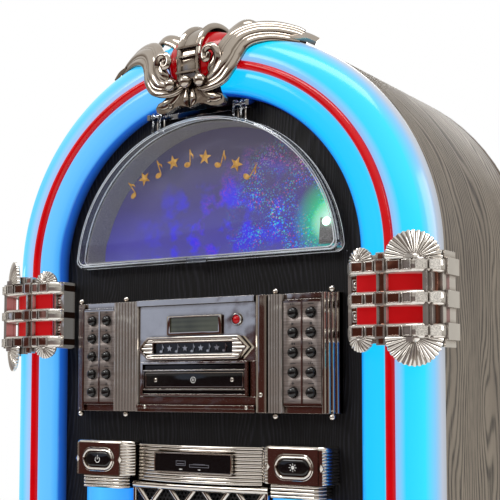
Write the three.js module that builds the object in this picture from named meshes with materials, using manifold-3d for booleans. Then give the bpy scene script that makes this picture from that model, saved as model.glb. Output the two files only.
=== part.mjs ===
// Floor-standing arch-top jukebox with lit tubes, a clear window door, a CD console and a lattice
// loudspeaker grille. Millimetres, +Z up, +X to the right of a person facing the front, front at -Y.
// The pieces are laid out with y = 0 on the crest of the red bead, and the whole group is then moved
// so that the origin is on the floor under the middle of the object.
import * as THREE from 'three';
import { mergeVertices } from 'three/addons/utils/BufferGeometryUtils.js';
import Module from 'manifold-3d';

const wasm = await Module();
wasm.setup();

// ---------------------------------------------------------------- driving dimensions
const GAP = 0.4;                 // clearance between pieces that touch
const HALF_WIDTH = 290;          // cabinet and tube, centre line to outer side
const ARCH_Z = 750;              // floor to the centre of the arch
const ARCH_RISE = 0.947;         // rise of the arch divided by its half width
const ARC_STEPS = 20;            // facets along a quarter of the arch
const BACK_Y = 312;              // rear face of the back panel
const CROWN_TOP = 1040;          // overall height
const PLINTH_TOP = 62;           // top of the base
const FRONT_Y = -17;             // foremost point, the crown's spheres

const SHELL_THICK = 15;
const SHELL_FRONT = 43;
const SHELL_BACK = 300;
const PANEL_FRONT = 25;          // face of the black front panel
const PANEL_THICK = 12;
const PANEL_HALF = 272;
const SEAT_Y = PANEL_FRONT - GAP; // rear face of everything mounted on the front panel
const SKID_INNER = 240;          // the base stands on two skids, from this |x| outwards
const APRON_FRONT = 2;           // face of the base between the feet of the tubes
const INLET_X = -150;            // mains socket in the back panel
const INLET_Z = 150;
const VENT_COUNT = 6;
const VENT_PITCH = 16;
const VENT_HEIGHT = 6;
const VENT_BOTTOM = 640;

const TUBE_INNER = 209;          // inner edge of the lit tube, as a half width
const TUBE_SHOULDER = 38;        // radius of the tube's outer shoulder
const TUBE_WALL = 3;
const TUBE_END_ANGLE = 13.5;     // degrees from the top, where the crown covers the gap
const SHOULDER_Y = 41;           // centre of the outer shoulder's round
const BEAD_CENTRE = 245;
const BEAD_RADIUS = 5.1;
const BEAD_Y = 5.2;

const BAND_PITCH = 33.4;         // chrome bars around the tube
const BAND_HEIGHT = 16;
const BAND_TOP = ARCH_Z - 9;
const BAND_FRONT = -12;
const BAND_OUTER = 302;
const BAND_INNER = 198;
const BAND_BACK = 52;            // rear end of the bars on the cabinet's side
const BAND_CLEARANCE = 3.8;      // between the bars and the tube
const BAND_SEAT_X = 208.3;       // outer side of the bars' inner leg

const CROWN_FOOT = ARCH_Z + 178;
const CROWN_NECK = ARCH_Z + 196;
const SPHERE_RADIUS = 8;
const SPHERE_PITCH = 20.5;

const WINDOW_RADIUS = 180;       // half width of the opening behind the door
const WINDOW_SILL = ARCH_Z + 10;
const RECESS_FRONT = PANEL_FRONT + PANEL_THICK + GAP;
const RECESS_FLOOR = RECESS_FRONT + 23;
const RECESS_WALL = 3;
const FILM_THICK = 1.2;
const LAMP_X = 156;
const LAMP_BOTTOM = WINDOW_SILL + 6;
const DOOR_RADIUS = 184;
const DOOR_SILL = ARCH_Z + 6;
const DOOR_FRONT = 9;
const DOOR_WALL = 3;
const HINGE_Y = 10;
const HINGE_Z = ARCH_Z + 181.5;
const LUG_INNER = 51;            // the two door lugs, from this |x| ...
const LUG_OUTER = 64;            // ... to this |x|
const LUG_DEPTH = 4.6;           // from the hinge axis to the faces of a lug
const PIN_RADIUS = 2;
const PIN_BORE = 2.6;

const CONSOLE_TOP = ARCH_Z - 38.5;
const CONSOLE_BOTTOM = ARCH_Z - 168.5;
const PLATE_TOP = ARCH_Z - 47;
const PLATE_BOTTOM = ARCH_Z - 159;
const PLATE_FRONT = 5;
const PLATE_THICK = 2.6;
const PLATE_INNER = 118;
const PLATE_OUTER = 165;
const KEY_COLUMNS = [130, 152.4];
const KEY_ROWS = 5;
const KEY_TOP = ARCH_Z - 59.8;
const KEY_PITCH = 21.5;
const KEY_RADIUS = 5.6;
const FINIALS = [104.6, 174.8];
const CONSOLE_HALF = 170;
const FACE_HALF = 82;            // raised middle of the console
const LENS_X = 57.5;
const LENS_Z = ARCH_Z - 64.5;
const NAMEPLATE_Z = ARCH_Z - 95.6;
const NAMEPLATE_RISE = 13;

const TRAY_HALF = 69.4;          // CD tray front
const TRAY_TOP = ARCH_Z - 122;
const TRAY_BOTTOM = ARCH_Z - 141.6;
const BEZEL_HALF = 73.8;         // 5.25 inch drive bezel
const BEZEL_TOP = ARCH_Z - 111;
const BEZEL_BOTTOM = ARCH_Z - 150.2;
const DRIVE_BACK = 190;
const DISC_RADIUS = 60.5;

const STRIP_HALF = 91.3;
const STRIP_TOP = ARCH_Z - 206;
const STRIP_BOTTOM = ARCH_Z - 249;
const SWITCH_TOP = ARCH_Z - 202.5;
const SWITCH_BOTTOM = ARCH_Z - 244;
const CAPITAL_BOTTOM = ARCH_Z - 259.5;
const SWITCH_CENTRE = 134.8;
const SWITCH_Z = ARCH_Z - 225.6;
const BUTTON_HALF = 19.5;        // pill shaped push button, half length and half height
const BUTTON_RISE = 9;
const BUTTON_CLEARANCE = 0.5;
const PILASTER_CENTRE = 132;
const PILASTER_HALF = 34;
const PILASTER_BOTTOM = 104;

const GRILLE_HALF = 93.5;
const GRILLE_TOP = STRIP_BOTTOM - 1;
const GRILLE_BOTTOM = 118;
const LATTICE_COLUMNS = 4;
const LATTICE_ROWS = 7;
const LATTICE_BAR = 5;
const SPEAKER_RADIUS = 78;
const SPEAKER_FRONT = 39;
const SPEAKER_HEIGHTS = { upper: 385, lower: 215 };
const BOARD_Y = 270;

// ---------------------------------------------------------------- materials
const finish = (color, roughness, metalness = 0) =>
  new THREE.MeshStandardMaterial({ color, roughness, metalness });
const CHROME = finish(0xb9b6b0, 0.12, 1);
const WOOD = finish(0x5a544d, 0.6);
const BLACK_WOOD = finish(0x0b0c0f, 0.45);
const BLACK_PLASTIC = finish(0x101012, 0.4);
const GREY_PLASTIC = finish(0x4b4b50, 0.5);
const LIT_BLUE = finish(0x18b4ff, 0.3);
const RED_PLASTIC = finish(0xb8001a, 0.25);
const FILM = finish(0x3a2f86, 0.3, 0.4);
const CLEAR = finish(0x9fb0c8, 0.1);
const BRUSHED = finish(0x8d8683, 0.35, 0.9);
const LCD_GREEN = finish(0x5d6152, 0.3);
const STEEL = finish(0x777a80, 0.4, 0.8);

// ---------------------------------------------------------------- helpers
const vec = (x, y) => new THREE.Vector2(x, y);
const radians = THREE.MathUtils.degToRad;

function welded(geometry) {
  const plain = geometry.clone();
  plain.deleteAttribute('normal');
  plain.deleteAttribute('uv');
  return mergeVertices(plain, 1e-4);
}

function solid(geometry) {
  const mesh = welded(geometry);
  return new wasm.Manifold(new wasm.Mesh({
    numProp: 3,
    vertProperties: new Float32Array(mesh.attributes.position.array),
    triVerts: new Uint32Array(mesh.index.array),
  }));
}

function shapeOf(manifold) {
  const mesh = manifold.getMesh();
  const geometry = new THREE.BufferGeometry();
  geometry.setAttribute('position', new THREE.BufferAttribute(Float32Array.from(mesh.vertProperties), 3));
  geometry.setIndex(Array.from(mesh.triVerts));
  return geometry;
}

const join = (...pieces) => shapeOf(pieces.map(solid).reduce((sum, piece) => sum.add(piece)));
const cut = (body, ...tools) =>
  shapeOf(tools.map(solid).reduce((rest, tool) => rest.subtract(tool), solid(body)));

function mirrorX(geometry) {
  const mirrored = welded(geometry).applyMatrix4(new THREE.Matrix4().makeScale(-1, 1, 1));
  const index = mirrored.index.array;
  for (let i = 0; i < index.length; i += 3) {
    [index[i], index[i + 1]] = [index[i + 1], index[i]];
  }
  return mirrored;
}

const onSide = (side, geometry) => (side < 0 ? mirrorX(geometry) : geometry);

function block(x0, x1, y0, y1, z0, z1) {
  return new THREE.BoxGeometry(x1 - x0, y1 - y0, z1 - z0)
    .translate((x0 + x1) / 2, (y0 + y1) / 2, (z0 + z1) / 2);
}

// An outline in the XZ plane, extruded from y0 back to y1.
function plate(outline, y0, y1, holes = []) {
  const shape = new THREE.Shape(outline);
  shape.holes = holes.map((points) => new THREE.Path(points));
  return new THREE.ExtrudeGeometry(shape, { depth: y1 - y0, bevelEnabled: false })
    .rotateX(Math.PI / 2)
    .translate(0, y1, 0);
}

// An outline in the XY plane, extruded from z0 up to z1.
function column(outline, z0, z1) {
  return new THREE.ExtrudeGeometry(new THREE.Shape(outline), { depth: z1 - z0, bevelEnabled: false })
    .translate(0, 0, z0);
}

// A round bar along Y.
function rod(x, z, radius, y0, y1, facets = 12) {
  return new THREE.CylinderGeometry(radius, radius, y1 - y0, facets).translate(x, (y0 + y1) / 2, z);
}

function arc(cx, cy, radiusX, radiusY, from, to, steps) {
  return Array.from({ length: steps + 1 }, (_, i) => {
    const a = radians(from + (to - from) * i / steps);
    return vec(cx + radiusX * Math.cos(a), cy + radiusY * Math.sin(a));
  });
}

// The arch with straight legs down to "bottom", as an outline in the XZ plane.
function archOutline(half, bottom, steps = 2 * ARC_STEPS) {
  return [vec(half, bottom), ...arc(0, ARCH_Z, half, half * ARCH_RISE, 0, 180, steps), vec(-half, bottom)];
}

// The window's shape: the arch cut off along a level sill.
function domeOutline(half, sill, steps = 2 * ARC_STEPS) {
  const start = THREE.MathUtils.radToDeg(Math.asin((sill - ARCH_Z) / (half * ARCH_RISE)));
  return arc(0, ARCH_Z, half, half * ARCH_RISE, start, 180 - start, steps);
}

function pillOutline(cx, cz, half, rise, steps = 6) {
  const straight = half - rise;
  return [
    ...arc(cx + straight, cz, rise, rise, -90, 90, steps),
    ...arc(cx - straight, cz, rise, rise, 90, 270, steps),
  ];
}

// A section of points (half width, y) carried from "bottom" up the leg and around the arch.
function archSweep(section, bottom, side) {
  const end = 90 - TUBE_END_ANGLE;
  const stations = [{ angle: 0, drop: ARCH_Z - bottom }];
  for (let i = 0; i <= ARC_STEPS; i += 1) {
    stations.push({ angle: radians(end * i / ARC_STEPS), drop: 0 });
  }
  const positions = [];
  for (const { angle, drop } of stations) {
    for (const point of section) {
      positions.push(
        point.x * Math.cos(angle),
        point.y,
        ARCH_Z - drop + point.x * ARCH_RISE * Math.sin(angle),
      );
    }
  }
  const count = section.length;
  const index = [];
  for (let s = 0; s < stations.length - 1; s += 1) {
    for (let i = 0; i < count; i += 1) {
      const a = s * count + i;
      const b = s * count + (i + 1) % count;
      index.push(a, b, a + count, b, b + count, a + count);
    }
  }
  const last = (stations.length - 1) * count;
  for (const [i, j, k] of THREE.ShapeUtils.triangulateShape(section, [])) {
    index.push(i, k, j, last + i, last + j, last + k);
  }
  const geometry = new THREE.BufferGeometry();
  geometry.setAttribute('position', new THREE.Float32BufferAttribute(positions, 3));
  geometry.setIndex(index);
  return onSide(side, geometry);
}

// ---------------------------------------------------------------- cabinet
function cabinetShell() {
  const inner = HALF_WIDTH - SHELL_THICK;
  return plate(
    archOutline(HALF_WIDTH, PLINTH_TOP + GAP), SHELL_FRONT, SHELL_BACK,
    [archOutline(inner, PLINTH_TOP + GAP + SHELL_THICK).reverse()],
  );
}

function frontPanel() {
  const through = 60;
  const driveHalf = BEZEL_HALF + 1.2;
  const grilleHalf = GRILLE_HALF - 5.5;
  const driveHole = block(-driveHalf, driveHalf, 0, through, BEZEL_BOTTOM - 1, BEZEL_TOP + 1);
  const grilleHole = block(-grilleHalf, grilleHalf, 0, through, GRILLE_BOTTOM + 8, GRILLE_TOP - 8);
  const windowHole = plate(domeOutline(WINDOW_RADIUS, WINDOW_SILL), 0, through);
  const panel = plate(archOutline(PANEL_HALF, PLINTH_TOP + GAP), PANEL_FRONT, PANEL_FRONT + PANEL_THICK);
  return cut(panel, driveHole, grilleHole, windowHole);
}

function backPanel() {
  const panel = plate(archOutline(HALF_WIDTH, PLINTH_TOP + GAP), SHELL_BACK + GAP, BACK_Y);
  const inlet = block(INLET_X - 14, INLET_X + 14, BACK_Y - 6, BACK_Y + 1, INLET_Z - 10, INLET_Z + 10);
  const vents = Array.from({ length: VENT_COUNT }, (_, i) => {
    const low = VENT_BOTTOM + VENT_PITCH * i;
    return block(-60, 60, SHELL_BACK, BACK_Y + 1, low, low + VENT_HEIGHT);
  });
  return cut(panel, inlet, ...vents);
}

function basePlinth() {
  const deck = block(-HALF_WIDTH, HALF_WIDTH, SHELL_FRONT, BACK_Y, 18, PLINTH_TOP);
  const apron = column([
    vec(-BAND_OUTER, 50), vec(-BAND_OUTER, 8), vec(-286, BAND_FRONT), vec(-200, BAND_FRONT),
    vec(-186, APRON_FRONT), vec(186, APRON_FRONT), vec(200, BAND_FRONT), vec(286, BAND_FRONT),
    vec(BAND_OUTER, 8), vec(BAND_OUTER, 50),
  ], 0, PLINTH_TOP);
  const skid = block(SKID_INNER, HALF_WIDTH, 49, BACK_Y, 0, 18.5);
  return join(deck, apron, skid, mirrorX(skid));
}

// ---------------------------------------------------------------- lit tubes and their chrome bands
// The tube's section: an open channel with an inner lobe, a groove for the bead and a round shoulder.
function tubeSection() {
  const shoulderX = HALF_WIDTH - TUBE_SHOULDER;
  const heel = SHELL_FRONT - GAP;
  const skin = (inset) => [
    vec(TUBE_INNER + inset, SEAT_Y),
    vec(TUBE_INNER + inset, 13),
    vec(213 + 0.7 * inset, 7.5 + 0.7 * inset),
    vec(222, 4 + inset),
    vec(235, 3 + inset),
    vec(239.5, 6.3 + inset),
    vec(250.5, 6.3 + inset),
    vec(254.5, 3.1 + inset),
    ...arc(shoulderX, SHOULDER_Y, TUBE_SHOULDER - inset, TUBE_SHOULDER - inset, -72, 0, 5),
    vec(HALF_WIDTH - inset, heel),
  ];
  return [...skin(0), ...skin(TUBE_WALL).reverse()];
}

const litTube = (side) => archSweep(tubeSection(), PLINTH_TOP + GAP, side);

function bead(side) {
  const rear = BEAD_Y + 0.7;
  const section = [
    vec(BEAD_CENTRE - BEAD_RADIUS, rear),
    ...arc(BEAD_CENTRE, BEAD_Y, BEAD_RADIUS, BEAD_Y, -180, 0, 6),
    vec(BEAD_CENTRE + BEAD_RADIUS, rear),
  ];
  return archSweep(section, PLINTH_TOP + GAP, side);
}

// A line round the front of the tube, "out" millimetres clear of it, from the inner to the outer side.
function aroundTube(out, innerX, backY) {
  const shoulderX = HALF_WIDTH - TUBE_SHOULDER;
  return [
    vec(innerX, -out),
    vec(251, -out),
    ...arc(shoulderX, SHOULDER_Y, TUBE_SHOULDER + out, TUBE_SHOULDER + out, -75, 0, 5),
    vec(HALF_WIDTH + out, backY),
  ];
}

function bandBar(top) {
  const outline = [
    vec(BAND_INNER, SEAT_Y), vec(BAND_INNER, 2), vec(206, BAND_FRONT), vec(286, BAND_FRONT),
    vec(BAND_OUTER, 14), vec(BAND_OUTER, BAND_BACK),
    ...aroundTube(BAND_CLEARANCE, BAND_SEAT_X, BAND_BACK).reverse(),
    vec(BAND_SEAT_X, SEAT_Y),
  ];
  return column(outline, top - BAND_HEIGHT, top);
}

// A shell-shaped fan of the band, standing on its upper or lower bar and turned towards the corner.
function bandFan(x, y, turn, radius, z, up) {
  const thickness = 5;
  const outline = arc(0, 0, radius, radius, 0, 180, 8);
  return new THREE.ExtrudeGeometry(new THREE.Shape(outline), { depth: thickness, bevelEnabled: false })
    .translate(0, 0, -thickness / 2)
    .rotateX(up > 0 ? Math.PI / 2 : -Math.PI / 2)
    .rotateZ(radians(turn))
    .translate(x, y, z);
}

function band(side) {
  const bottom = BAND_TOP - 2 * BAND_PITCH - BAND_HEIGHT;
  const posts = [
    block(BAND_INNER, BAND_SEAT_X, 2, SEAT_Y, bottom + 1, BAND_TOP - 1),
    block(237, 249, -9, -BAND_CLEARANCE, bottom + 1, BAND_TOP - 1),
    block(294, BAND_OUTER - 1, 20, 44, bottom + 1, BAND_TOP - 1),
  ];
  const bars = [0, 1, 2].map((i) => bandBar(BAND_TOP - i * BAND_PITCH));
  const fans = [[BAND_TOP - 3, 1], [bottom + 3, -1]].flatMap(([z, up]) => [
    bandFan(278, 4, 35, 30, z, up),
    bandFan(216, -4, -12, 15, z, up),
  ]);
  return onSide(side, join(...bars, ...posts, ...fans));
}

// The red skin seen between the bars. Its ends run a little way up behind the outer bars.
function bandInsert(side) {
  const overlap = 5;
  const outline = [...aroundTube(0.5, 212, 44), ...aroundTube(3.4, 212, 44).reverse()];
  const top = BAND_TOP - BAND_HEIGHT + overlap;
  const bottom = BAND_TOP - 2 * BAND_PITCH - overlap;
  return onSide(side, column(outline, bottom, top));
}

// ---------------------------------------------------------------- crown
function crownArm() {
  const rail = new THREE.CatmullRomCurve3([
    new THREE.Vector3(10, -6, ARCH_Z + 206),
    new THREE.Vector3(32, -6, ARCH_Z + 214),
    new THREE.Vector3(48, -6, ARCH_Z + 240),
    new THREE.Vector3(60, 8, ARCH_Z + 268),
    new THREE.Vector3(84, 30, ARCH_Z + 278),
    new THREE.Vector3(116, 50, ARCH_Z + 265),
    new THREE.Vector3(140, 66, ARCH_Z + 252),
  ]);
  const section = new THREE.Shape(arc(0, 0, 8, 8, 0, 315, 7));
  return new THREE.ExtrudeGeometry(section, { extrudePath: rail, steps: 14, bevelEnabled: false });
}

function crownStrap() {
  const outline = [
    vec(-14, ARCH_Z + 214), vec(-16, ARCH_Z + 240), vec(-8, ARCH_Z + 266), vec(10, ARCH_Z + 282),
    vec(36, CROWN_TOP), vec(62, ARCH_Z + 286), vec(70, ARCH_Z + 277), vec(44, ARCH_Z + 276),
    vec(22, ARCH_Z + 270), vec(2, ARCH_Z + 256), vec(-4, ARCH_Z + 240), vec(-4, ARCH_Z + 214),
  ];
  return column(outline, -15, 15)
    .applyMatrix4(new THREE.Matrix4().set(0, 0, 1, 0, 1, 0, 0, 0, 0, 1, 0, 0, 0, 0, 0, 1));
}

function crownStem() {
  const foot = CROWN_FOOT;
  const outline = [
    vec(-46, foot), vec(-12, foot + 3), vec(12, foot + 3), vec(46, foot), vec(46, foot + 12),
    vec(22, foot + 22), vec(18, foot + 40), vec(-18, foot + 40), vec(-22, foot + 22), vec(-46, foot + 12),
  ];
  return plate(outline, -8, 1.2);
}

function crownCasting() {
  const arm = crownArm();
  const spheres = [-SPHERE_PITCH, 0, SPHERE_PITCH].map((x) =>
    new THREE.SphereGeometry(SPHERE_RADIUS, 12, 8).translate(x, FRONT_Y + SPHERE_RADIUS, ARCH_Z + 210));
  const tail = block(126, 148, 46, 72, ARCH_Z + 249, ARCH_Z + 256);
  const neck = block(-18, 18, -8, 22, CROWN_NECK, CROWN_NECK + 17);
  return join(crownStrap(), crownStem(), neck, arm, mirrorX(arm), tail, mirrorX(tail), ...spheres);
}

function crownInsert() {
  const outline = [
    vec(-36, ARCH_Z + 216), vec(36, ARCH_Z + 216),
    ...arc(0, ARCH_Z + 226, 36, 26, 0, 180, 10),
  ];
  return plate(outline, 3, SEAT_Y);
}

// ---------------------------------------------------------------- window
function windowTray() {
  return cut(
    plate(domeOutline(WINDOW_RADIUS + 4, WINDOW_SILL - 4), RECESS_FRONT, RECESS_FLOOR + RECESS_WALL),
    plate(domeOutline(WINDOW_RADIUS, WINDOW_SILL), RECESS_FRONT - 1, RECESS_FLOOR),
  );
}

function windowFilm() {
  const back = RECESS_FLOOR - GAP;
  return plate(domeOutline(WINDOW_RADIUS - 1, WINDOW_SILL + 1), back - FILM_THICK, back);
}

// The lamp at the right end of the recess: a holder with a domed lens near its top.
function windowLamp() {
  const holder = block(LAMP_X - 11, LAMP_X + 11, 42, 54, LAMP_BOTTOM, LAMP_BOTTOM + 31);
  return join(holder, rod(LAMP_X - 2, LAMP_BOTTOM + 26, 5, 38, 43));
}

// A rod along X on the hinge's axis, centred on x.
function hingeRod(radius, length, x) {
  return new THREE.CylinderGeometry(radius, radius, length, 12).rotateZ(Math.PI / 2)
    .translate(x, HINGE_Y, HINGE_Z);
}

function windowDoor() {
  const skirt = cut(
    plate(domeOutline(DOOR_RADIUS, DOOR_SILL), DOOR_FRONT, SEAT_Y),
    plate(domeOutline(DOOR_RADIUS - DOOR_WALL, DOOR_SILL + DOOR_WALL), DOOR_FRONT + DOOR_WALL, SEAT_Y + 1),
  );
  const lug = block(
    LUG_INNER, LUG_OUTER, HINGE_Y - LUG_DEPTH, HINGE_Y + LUG_DEPTH, HINGE_Z - 21, HINGE_Z + LUG_DEPTH,
  );
  const bore = hingeRod(PIN_BORE, 200, 0);
  const tab = block(-14, 14, DOOR_FRONT - 2, DOOR_FRONT + 4, DOOR_SILL - 3, DOOR_SILL + 5);
  return cut(join(skirt, lug, mirrorX(lug), tab), bore);
}

function hingeBracket() {
  const half = 72;
  const cheekInner = 67.5;
  const bar = block(-half, half, 18.5, SEAT_Y, HINGE_Z - 4, HINGE_Z + 2.5);
  const cheek = block(cheekInner, half, HINGE_Y - 3, SEAT_Y, HINGE_Z - 4, HINGE_Z + 2.5);
  const pin = hingeRod(PIN_RADIUS, 18, 61);
  return join(bar, cheek, mirrorX(cheek), pin, mirrorX(pin));
}

// ---------------------------------------------------------------- console
function finial(x, z) {
  return new THREE.SphereGeometry(4, 8, 6).translate(x, 19.5, z);
}

// The fluted half-round column beside the middle, the slim one at the end, and their balls.
function consoleColumns() {
  const centre = 99;
  const half = 17.5;
  const plan = [vec(centre + half, 20), ...arc(centre, 12, half, 12, 0, -180, 8), vec(centre - half, 20)];
  const inner = column(plan.reverse(), CONSOLE_BOTTOM, CONSOLE_TOP);
  const outer = column([
    vec(165.6, 9), vec(165.6, 5), vec(175, 8), vec(182, 15), vec(182, 22), vec(165.6, 22),
  ], CONSOLE_BOTTOM, CONSOLE_TOP);
  const balls = FINIALS.flatMap((x) => [finial(x, CONSOLE_TOP + 2.5), finial(x, CONSOLE_BOTTOM - 2.5)]);
  return [inner, outer, ...balls];
}

function consoleBezel() {
  const right = consoleColumns();
  const slab = block(-CONSOLE_HALF, CONSOLE_HALF, 8, SEAT_Y, CONSOLE_BOTTOM, CONSOLE_TOP);
  const face = block(-FACE_HALF, FACE_HALF, PLATE_FRONT, 12, CONSOLE_BOTTOM, CONSOLE_TOP);
  const rails = [
    block(-FACE_HALF, FACE_HALF, 2, 8, CONSOLE_TOP - 7, CONSOLE_TOP),
    block(-FACE_HALF, FACE_HALF, 2, 8, CONSOLE_BOTTOM, CONSOLE_BOTTOM + 8),
  ];
  const drive = block(-74.3, 74.3, 0, 40, BEZEL_BOTTOM - 0.5, BEZEL_TOP + 0.5);
  const lcdPocket = block(-38.5, 38.5, 0, 20, ARCH_Z - 80.5, ARCH_Z - 58);
  const lensPocket = rod(LENS_X, LENS_Z, 5.4, 0, 20);
  const keyPocket = block(
    PLATE_INNER + 4, PLATE_OUTER - 4, 6, 22, PLATE_BOTTOM + 6, PLATE_TOP - 6,
  );
  const solidBody = join(slab, face, ...rails, ...right, ...right.map(mirrorX));
  return cut(solidBody, drive, lcdPocket, lensPocket, keyPocket, mirrorX(keyPocket));
}

const keyPlaces = KEY_COLUMNS.flatMap((x) =>
  Array.from({ length: KEY_ROWS }, (_, row) => ({ x, z: KEY_TOP - row * KEY_PITCH })));

function keypadPlate(side) {
  const holes = keyPlaces.map(({ x, z }) => arc(x, z, KEY_RADIUS + 0.5, KEY_RADIUS + 0.5, 0, 330, 11));
  const outline = [
    vec(PLATE_INNER, PLATE_BOTTOM), vec(PLATE_OUTER, PLATE_BOTTOM), vec(PLATE_OUTER, PLATE_TOP),
    vec(PLATE_INNER, PLATE_TOP),
  ];
  return onSide(side, plate(outline, PLATE_FRONT, PLATE_FRONT + PLATE_THICK, holes));
}

// A domed key with a collar behind the plate that keeps it in.
function key() {
  const profile = [
    vec(0, -5.2), vec(3.4, -4.6), vec(KEY_RADIUS, -2.8), vec(KEY_RADIUS, 4.2), vec(0, 4.2),
  ];
  return new THREE.LatheGeometry(profile, 10);
}

function lcdDisplay() {
  const frame = block(-38, 38, 3.2, 18, ARCH_Z - 80, ARCH_Z - 58.5);
  const well = block(-33.6, 33.6, 0, 4.6, ARCH_Z - 77, ARCH_Z - 60);
  return cut(frame, well);
}

function sensorLens() {
  const profile = [vec(0, -3.5), vec(3.2, -2.4), vec(4.9, 0), vec(4.9, 12), vec(0, 12)];
  return new THREE.LatheGeometry(profile, 12);
}

function nameplate() {
  const z = NAMEPLATE_Z;
  const low = z - NAMEPLATE_RISE;
  const high = z + NAMEPLATE_RISE;
  const outline = [
    vec(-76, z), vec(-62, low), vec(62, low), vec(76, z), vec(62, high), vec(-62, high),
  ];
  return plate(outline, -2, PLATE_FRONT - GAP, [[
    vec(-54.4, z - 6), vec(-54.4, z + 6), vec(54.4, z + 6), vec(54.4, z - 6),
  ]]);
}

function cdMechanism() {
  const bezel = block(-BEZEL_HALF, BEZEL_HALF, 1, 9, BEZEL_BOTTOM, BEZEL_TOP);
  const body = block(-BEZEL_HALF + 1, BEZEL_HALF - 1, 8, DRIVE_BACK, BEZEL_BOTTOM + 1, BEZEL_TOP - 1);
  const mouth = block(-TRAY_HALF - 0.5, TRAY_HALF + 0.5, 0, 12, TRAY_BOTTOM - 0.5, TRAY_TOP + 0.5);
  const bay = block(-66, 66, 5, DRIVE_BACK - 14, TRAY_BOTTOM + 1, TRAY_TOP - 1);
  return cut(join(bezel, body), mouth, bay);
}

function cdTray() {
  const front = block(-TRAY_HALF, TRAY_HALF, 2.4, 7, TRAY_BOTTOM, TRAY_TOP);
  const deck = block(-64, 64, 6, 158, TRAY_BOTTOM + 3, TRAY_BOTTOM + 9);
  const well = new THREE.CylinderGeometry(DISC_RADIUS, DISC_RADIUS, 3, 32).rotateX(Math.PI / 2)
    .translate(0, 72, TRAY_BOTTOM + 8.5);
  return cut(join(front, deck), well);
}

// ---------------------------------------------------------------- switches, media strip, pilasters
function switchBlock(side) {
  const plan = [
    vec(96, SEAT_Y), vec(88, 18), vec(88, 8), vec(100, -2), vec(167, -2), vec(172, 4), vec(176, SEAT_Y),
  ];
  const body = column(plan, SWITCH_BOTTOM, SWITCH_TOP);
  const capital = column(
    [vec(98, SEAT_Y), vec(98, 10), vec(106, 0), vec(158, 0), vec(167, 10), vec(167, SEAT_Y)],
    CAPITAL_BOTTOM, SWITCH_BOTTOM + 1,
  );
  const boreHalf = BUTTON_HALF + BUTTON_CLEARANCE;
  const boreRise = BUTTON_RISE + BUTTON_CLEARANCE;
  const bore = plate(pillOutline(SWITCH_CENTRE, SWITCH_Z, boreHalf, boreRise), -10, 20);
  return onSide(side, cut(join(body, capital), bore));
}

function pushButton(side) {
  return onSide(side, join(
    plate(pillOutline(SWITCH_CENTRE, SWITCH_Z, BUTTON_HALF, BUTTON_RISE), -3, 14),
    plate(pillOutline(SWITCH_CENTRE, SWITCH_Z, BUTTON_HALF - 1.2, BUTTON_RISE - 1.2), -4.2, -2),
  ));
}

function mediaStrip() {
  const steps = 10;
  const half = 85.5;
  const bow = Array.from({ length: steps + 1 }, (_, i) => {
    const x = -half + 2 * half * i / steps;
    return vec(x, 3 + 13.5 * (x / STRIP_HALF) ** 2);
  });
  const body = column([...bow, vec(half, SEAT_Y), vec(-half, SEAT_Y)], STRIP_BOTTOM, STRIP_TOP);
  const window = block(-52, 52, 0, 7, ARCH_Z - 236, ARCH_Z - 215.8);
  const socket = block(-23, -9.6, 5, 21, ARCH_Z - 229.2, ARCH_Z - 223.6);
  return cut(body, window, socket);
}

function pilaster(side) {
  const outline = [
    vec(PILASTER_CENTRE + PILASTER_HALF, SEAT_Y), vec(PILASTER_CENTRE - PILASTER_HALF, SEAT_Y),
    ...arc(PILASTER_CENTRE, 20, PILASTER_HALF, 22, 180, 360, 14),
  ];
  const shaft = column(outline, PILASTER_BOTTOM, CAPITAL_BOTTOM - GAP);
  const foot = block(94, 170, -6, SEAT_Y, PLINTH_TOP + GAP, PILASTER_BOTTOM + 1);
  return onSide(side, join(shaft, foot));
}

// ---------------------------------------------------------------- grille, loudspeakers, electronics
function grilleLattice() {
  const width = 2 * GRILLE_HALF;
  const height = GRILLE_TOP - GRILLE_BOTTOM;
  const cellX = width / LATTICE_COLUMNS;
  const cellZ = height / LATTICE_ROWS;
  const holeX = cellX / 2 - LATTICE_BAR * 0.75;
  const holeZ = cellZ / 2 - LATTICE_BAR;
  const holes = [];
  for (let row = 0; row < 2 * LATTICE_ROWS - 1; row += 1) {
    const shift = row % 2;
    for (let i = 0; i < LATTICE_COLUMNS - shift; i += 1) {
      const x = -GRILLE_HALF + cellX * (i + 0.5 + shift / 2);
      const z = GRILLE_BOTTOM + cellZ * (row + 1) / 2;
      holes.push([vec(x - holeX, z), vec(x, z + holeZ), vec(x + holeX, z), vec(x, z - holeZ)]);
    }
  }
  const outline = [
    vec(-GRILLE_HALF, GRILLE_BOTTOM), vec(GRILLE_HALF, GRILLE_BOTTOM), vec(GRILLE_HALF, GRILLE_TOP),
    vec(-GRILLE_HALF, GRILLE_TOP),
  ];
  return plate(outline, 12.5, 18, holes);
}

const grilleMesh = () => block(-92, 92, 20.5, 22.5, GRILLE_BOTTOM + 1, GRILLE_TOP - 1);

// A cone, basket and magnet, facing -Y from the plane y = 0.
function loudspeaker() {
  const profile = [
    vec(0, 22), vec(24, 20), vec(62, 4), vec(SPEAKER_RADIUS, 0), vec(SPEAKER_RADIUS, 5), vec(66, 9),
    vec(38, 40), vec(38, 66), vec(0, 66),
  ];
  return new THREE.LatheGeometry(profile, 20);
}

function amplifierBoard() {
  const board = block(-110, 110, BOARD_Y, BOARD_Y + 4, 110, 250);
  const studs = [[-100, 120], [100, 120], [-100, 240], [100, 240]]
    .map(([x, z]) => rod(x, z, 4, BOARD_Y + 3, SHELL_BACK, 8));
  const sink = block(-90, -10, BOARD_Y - 30, BOARD_Y + 1, 130, 230);
  const transformer = block(20, 90, BOARD_Y - 50, BOARD_Y + 1, 130, 200);
  return join(board, ...studs, sink, transformer);
}

// ---------------------------------------------------------------- assembly
const jukebox = new THREE.Group();
jukebox.name = 'jukebox';
jukebox.position.y = -(FRONT_Y + BACK_Y) / 2;

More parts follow.
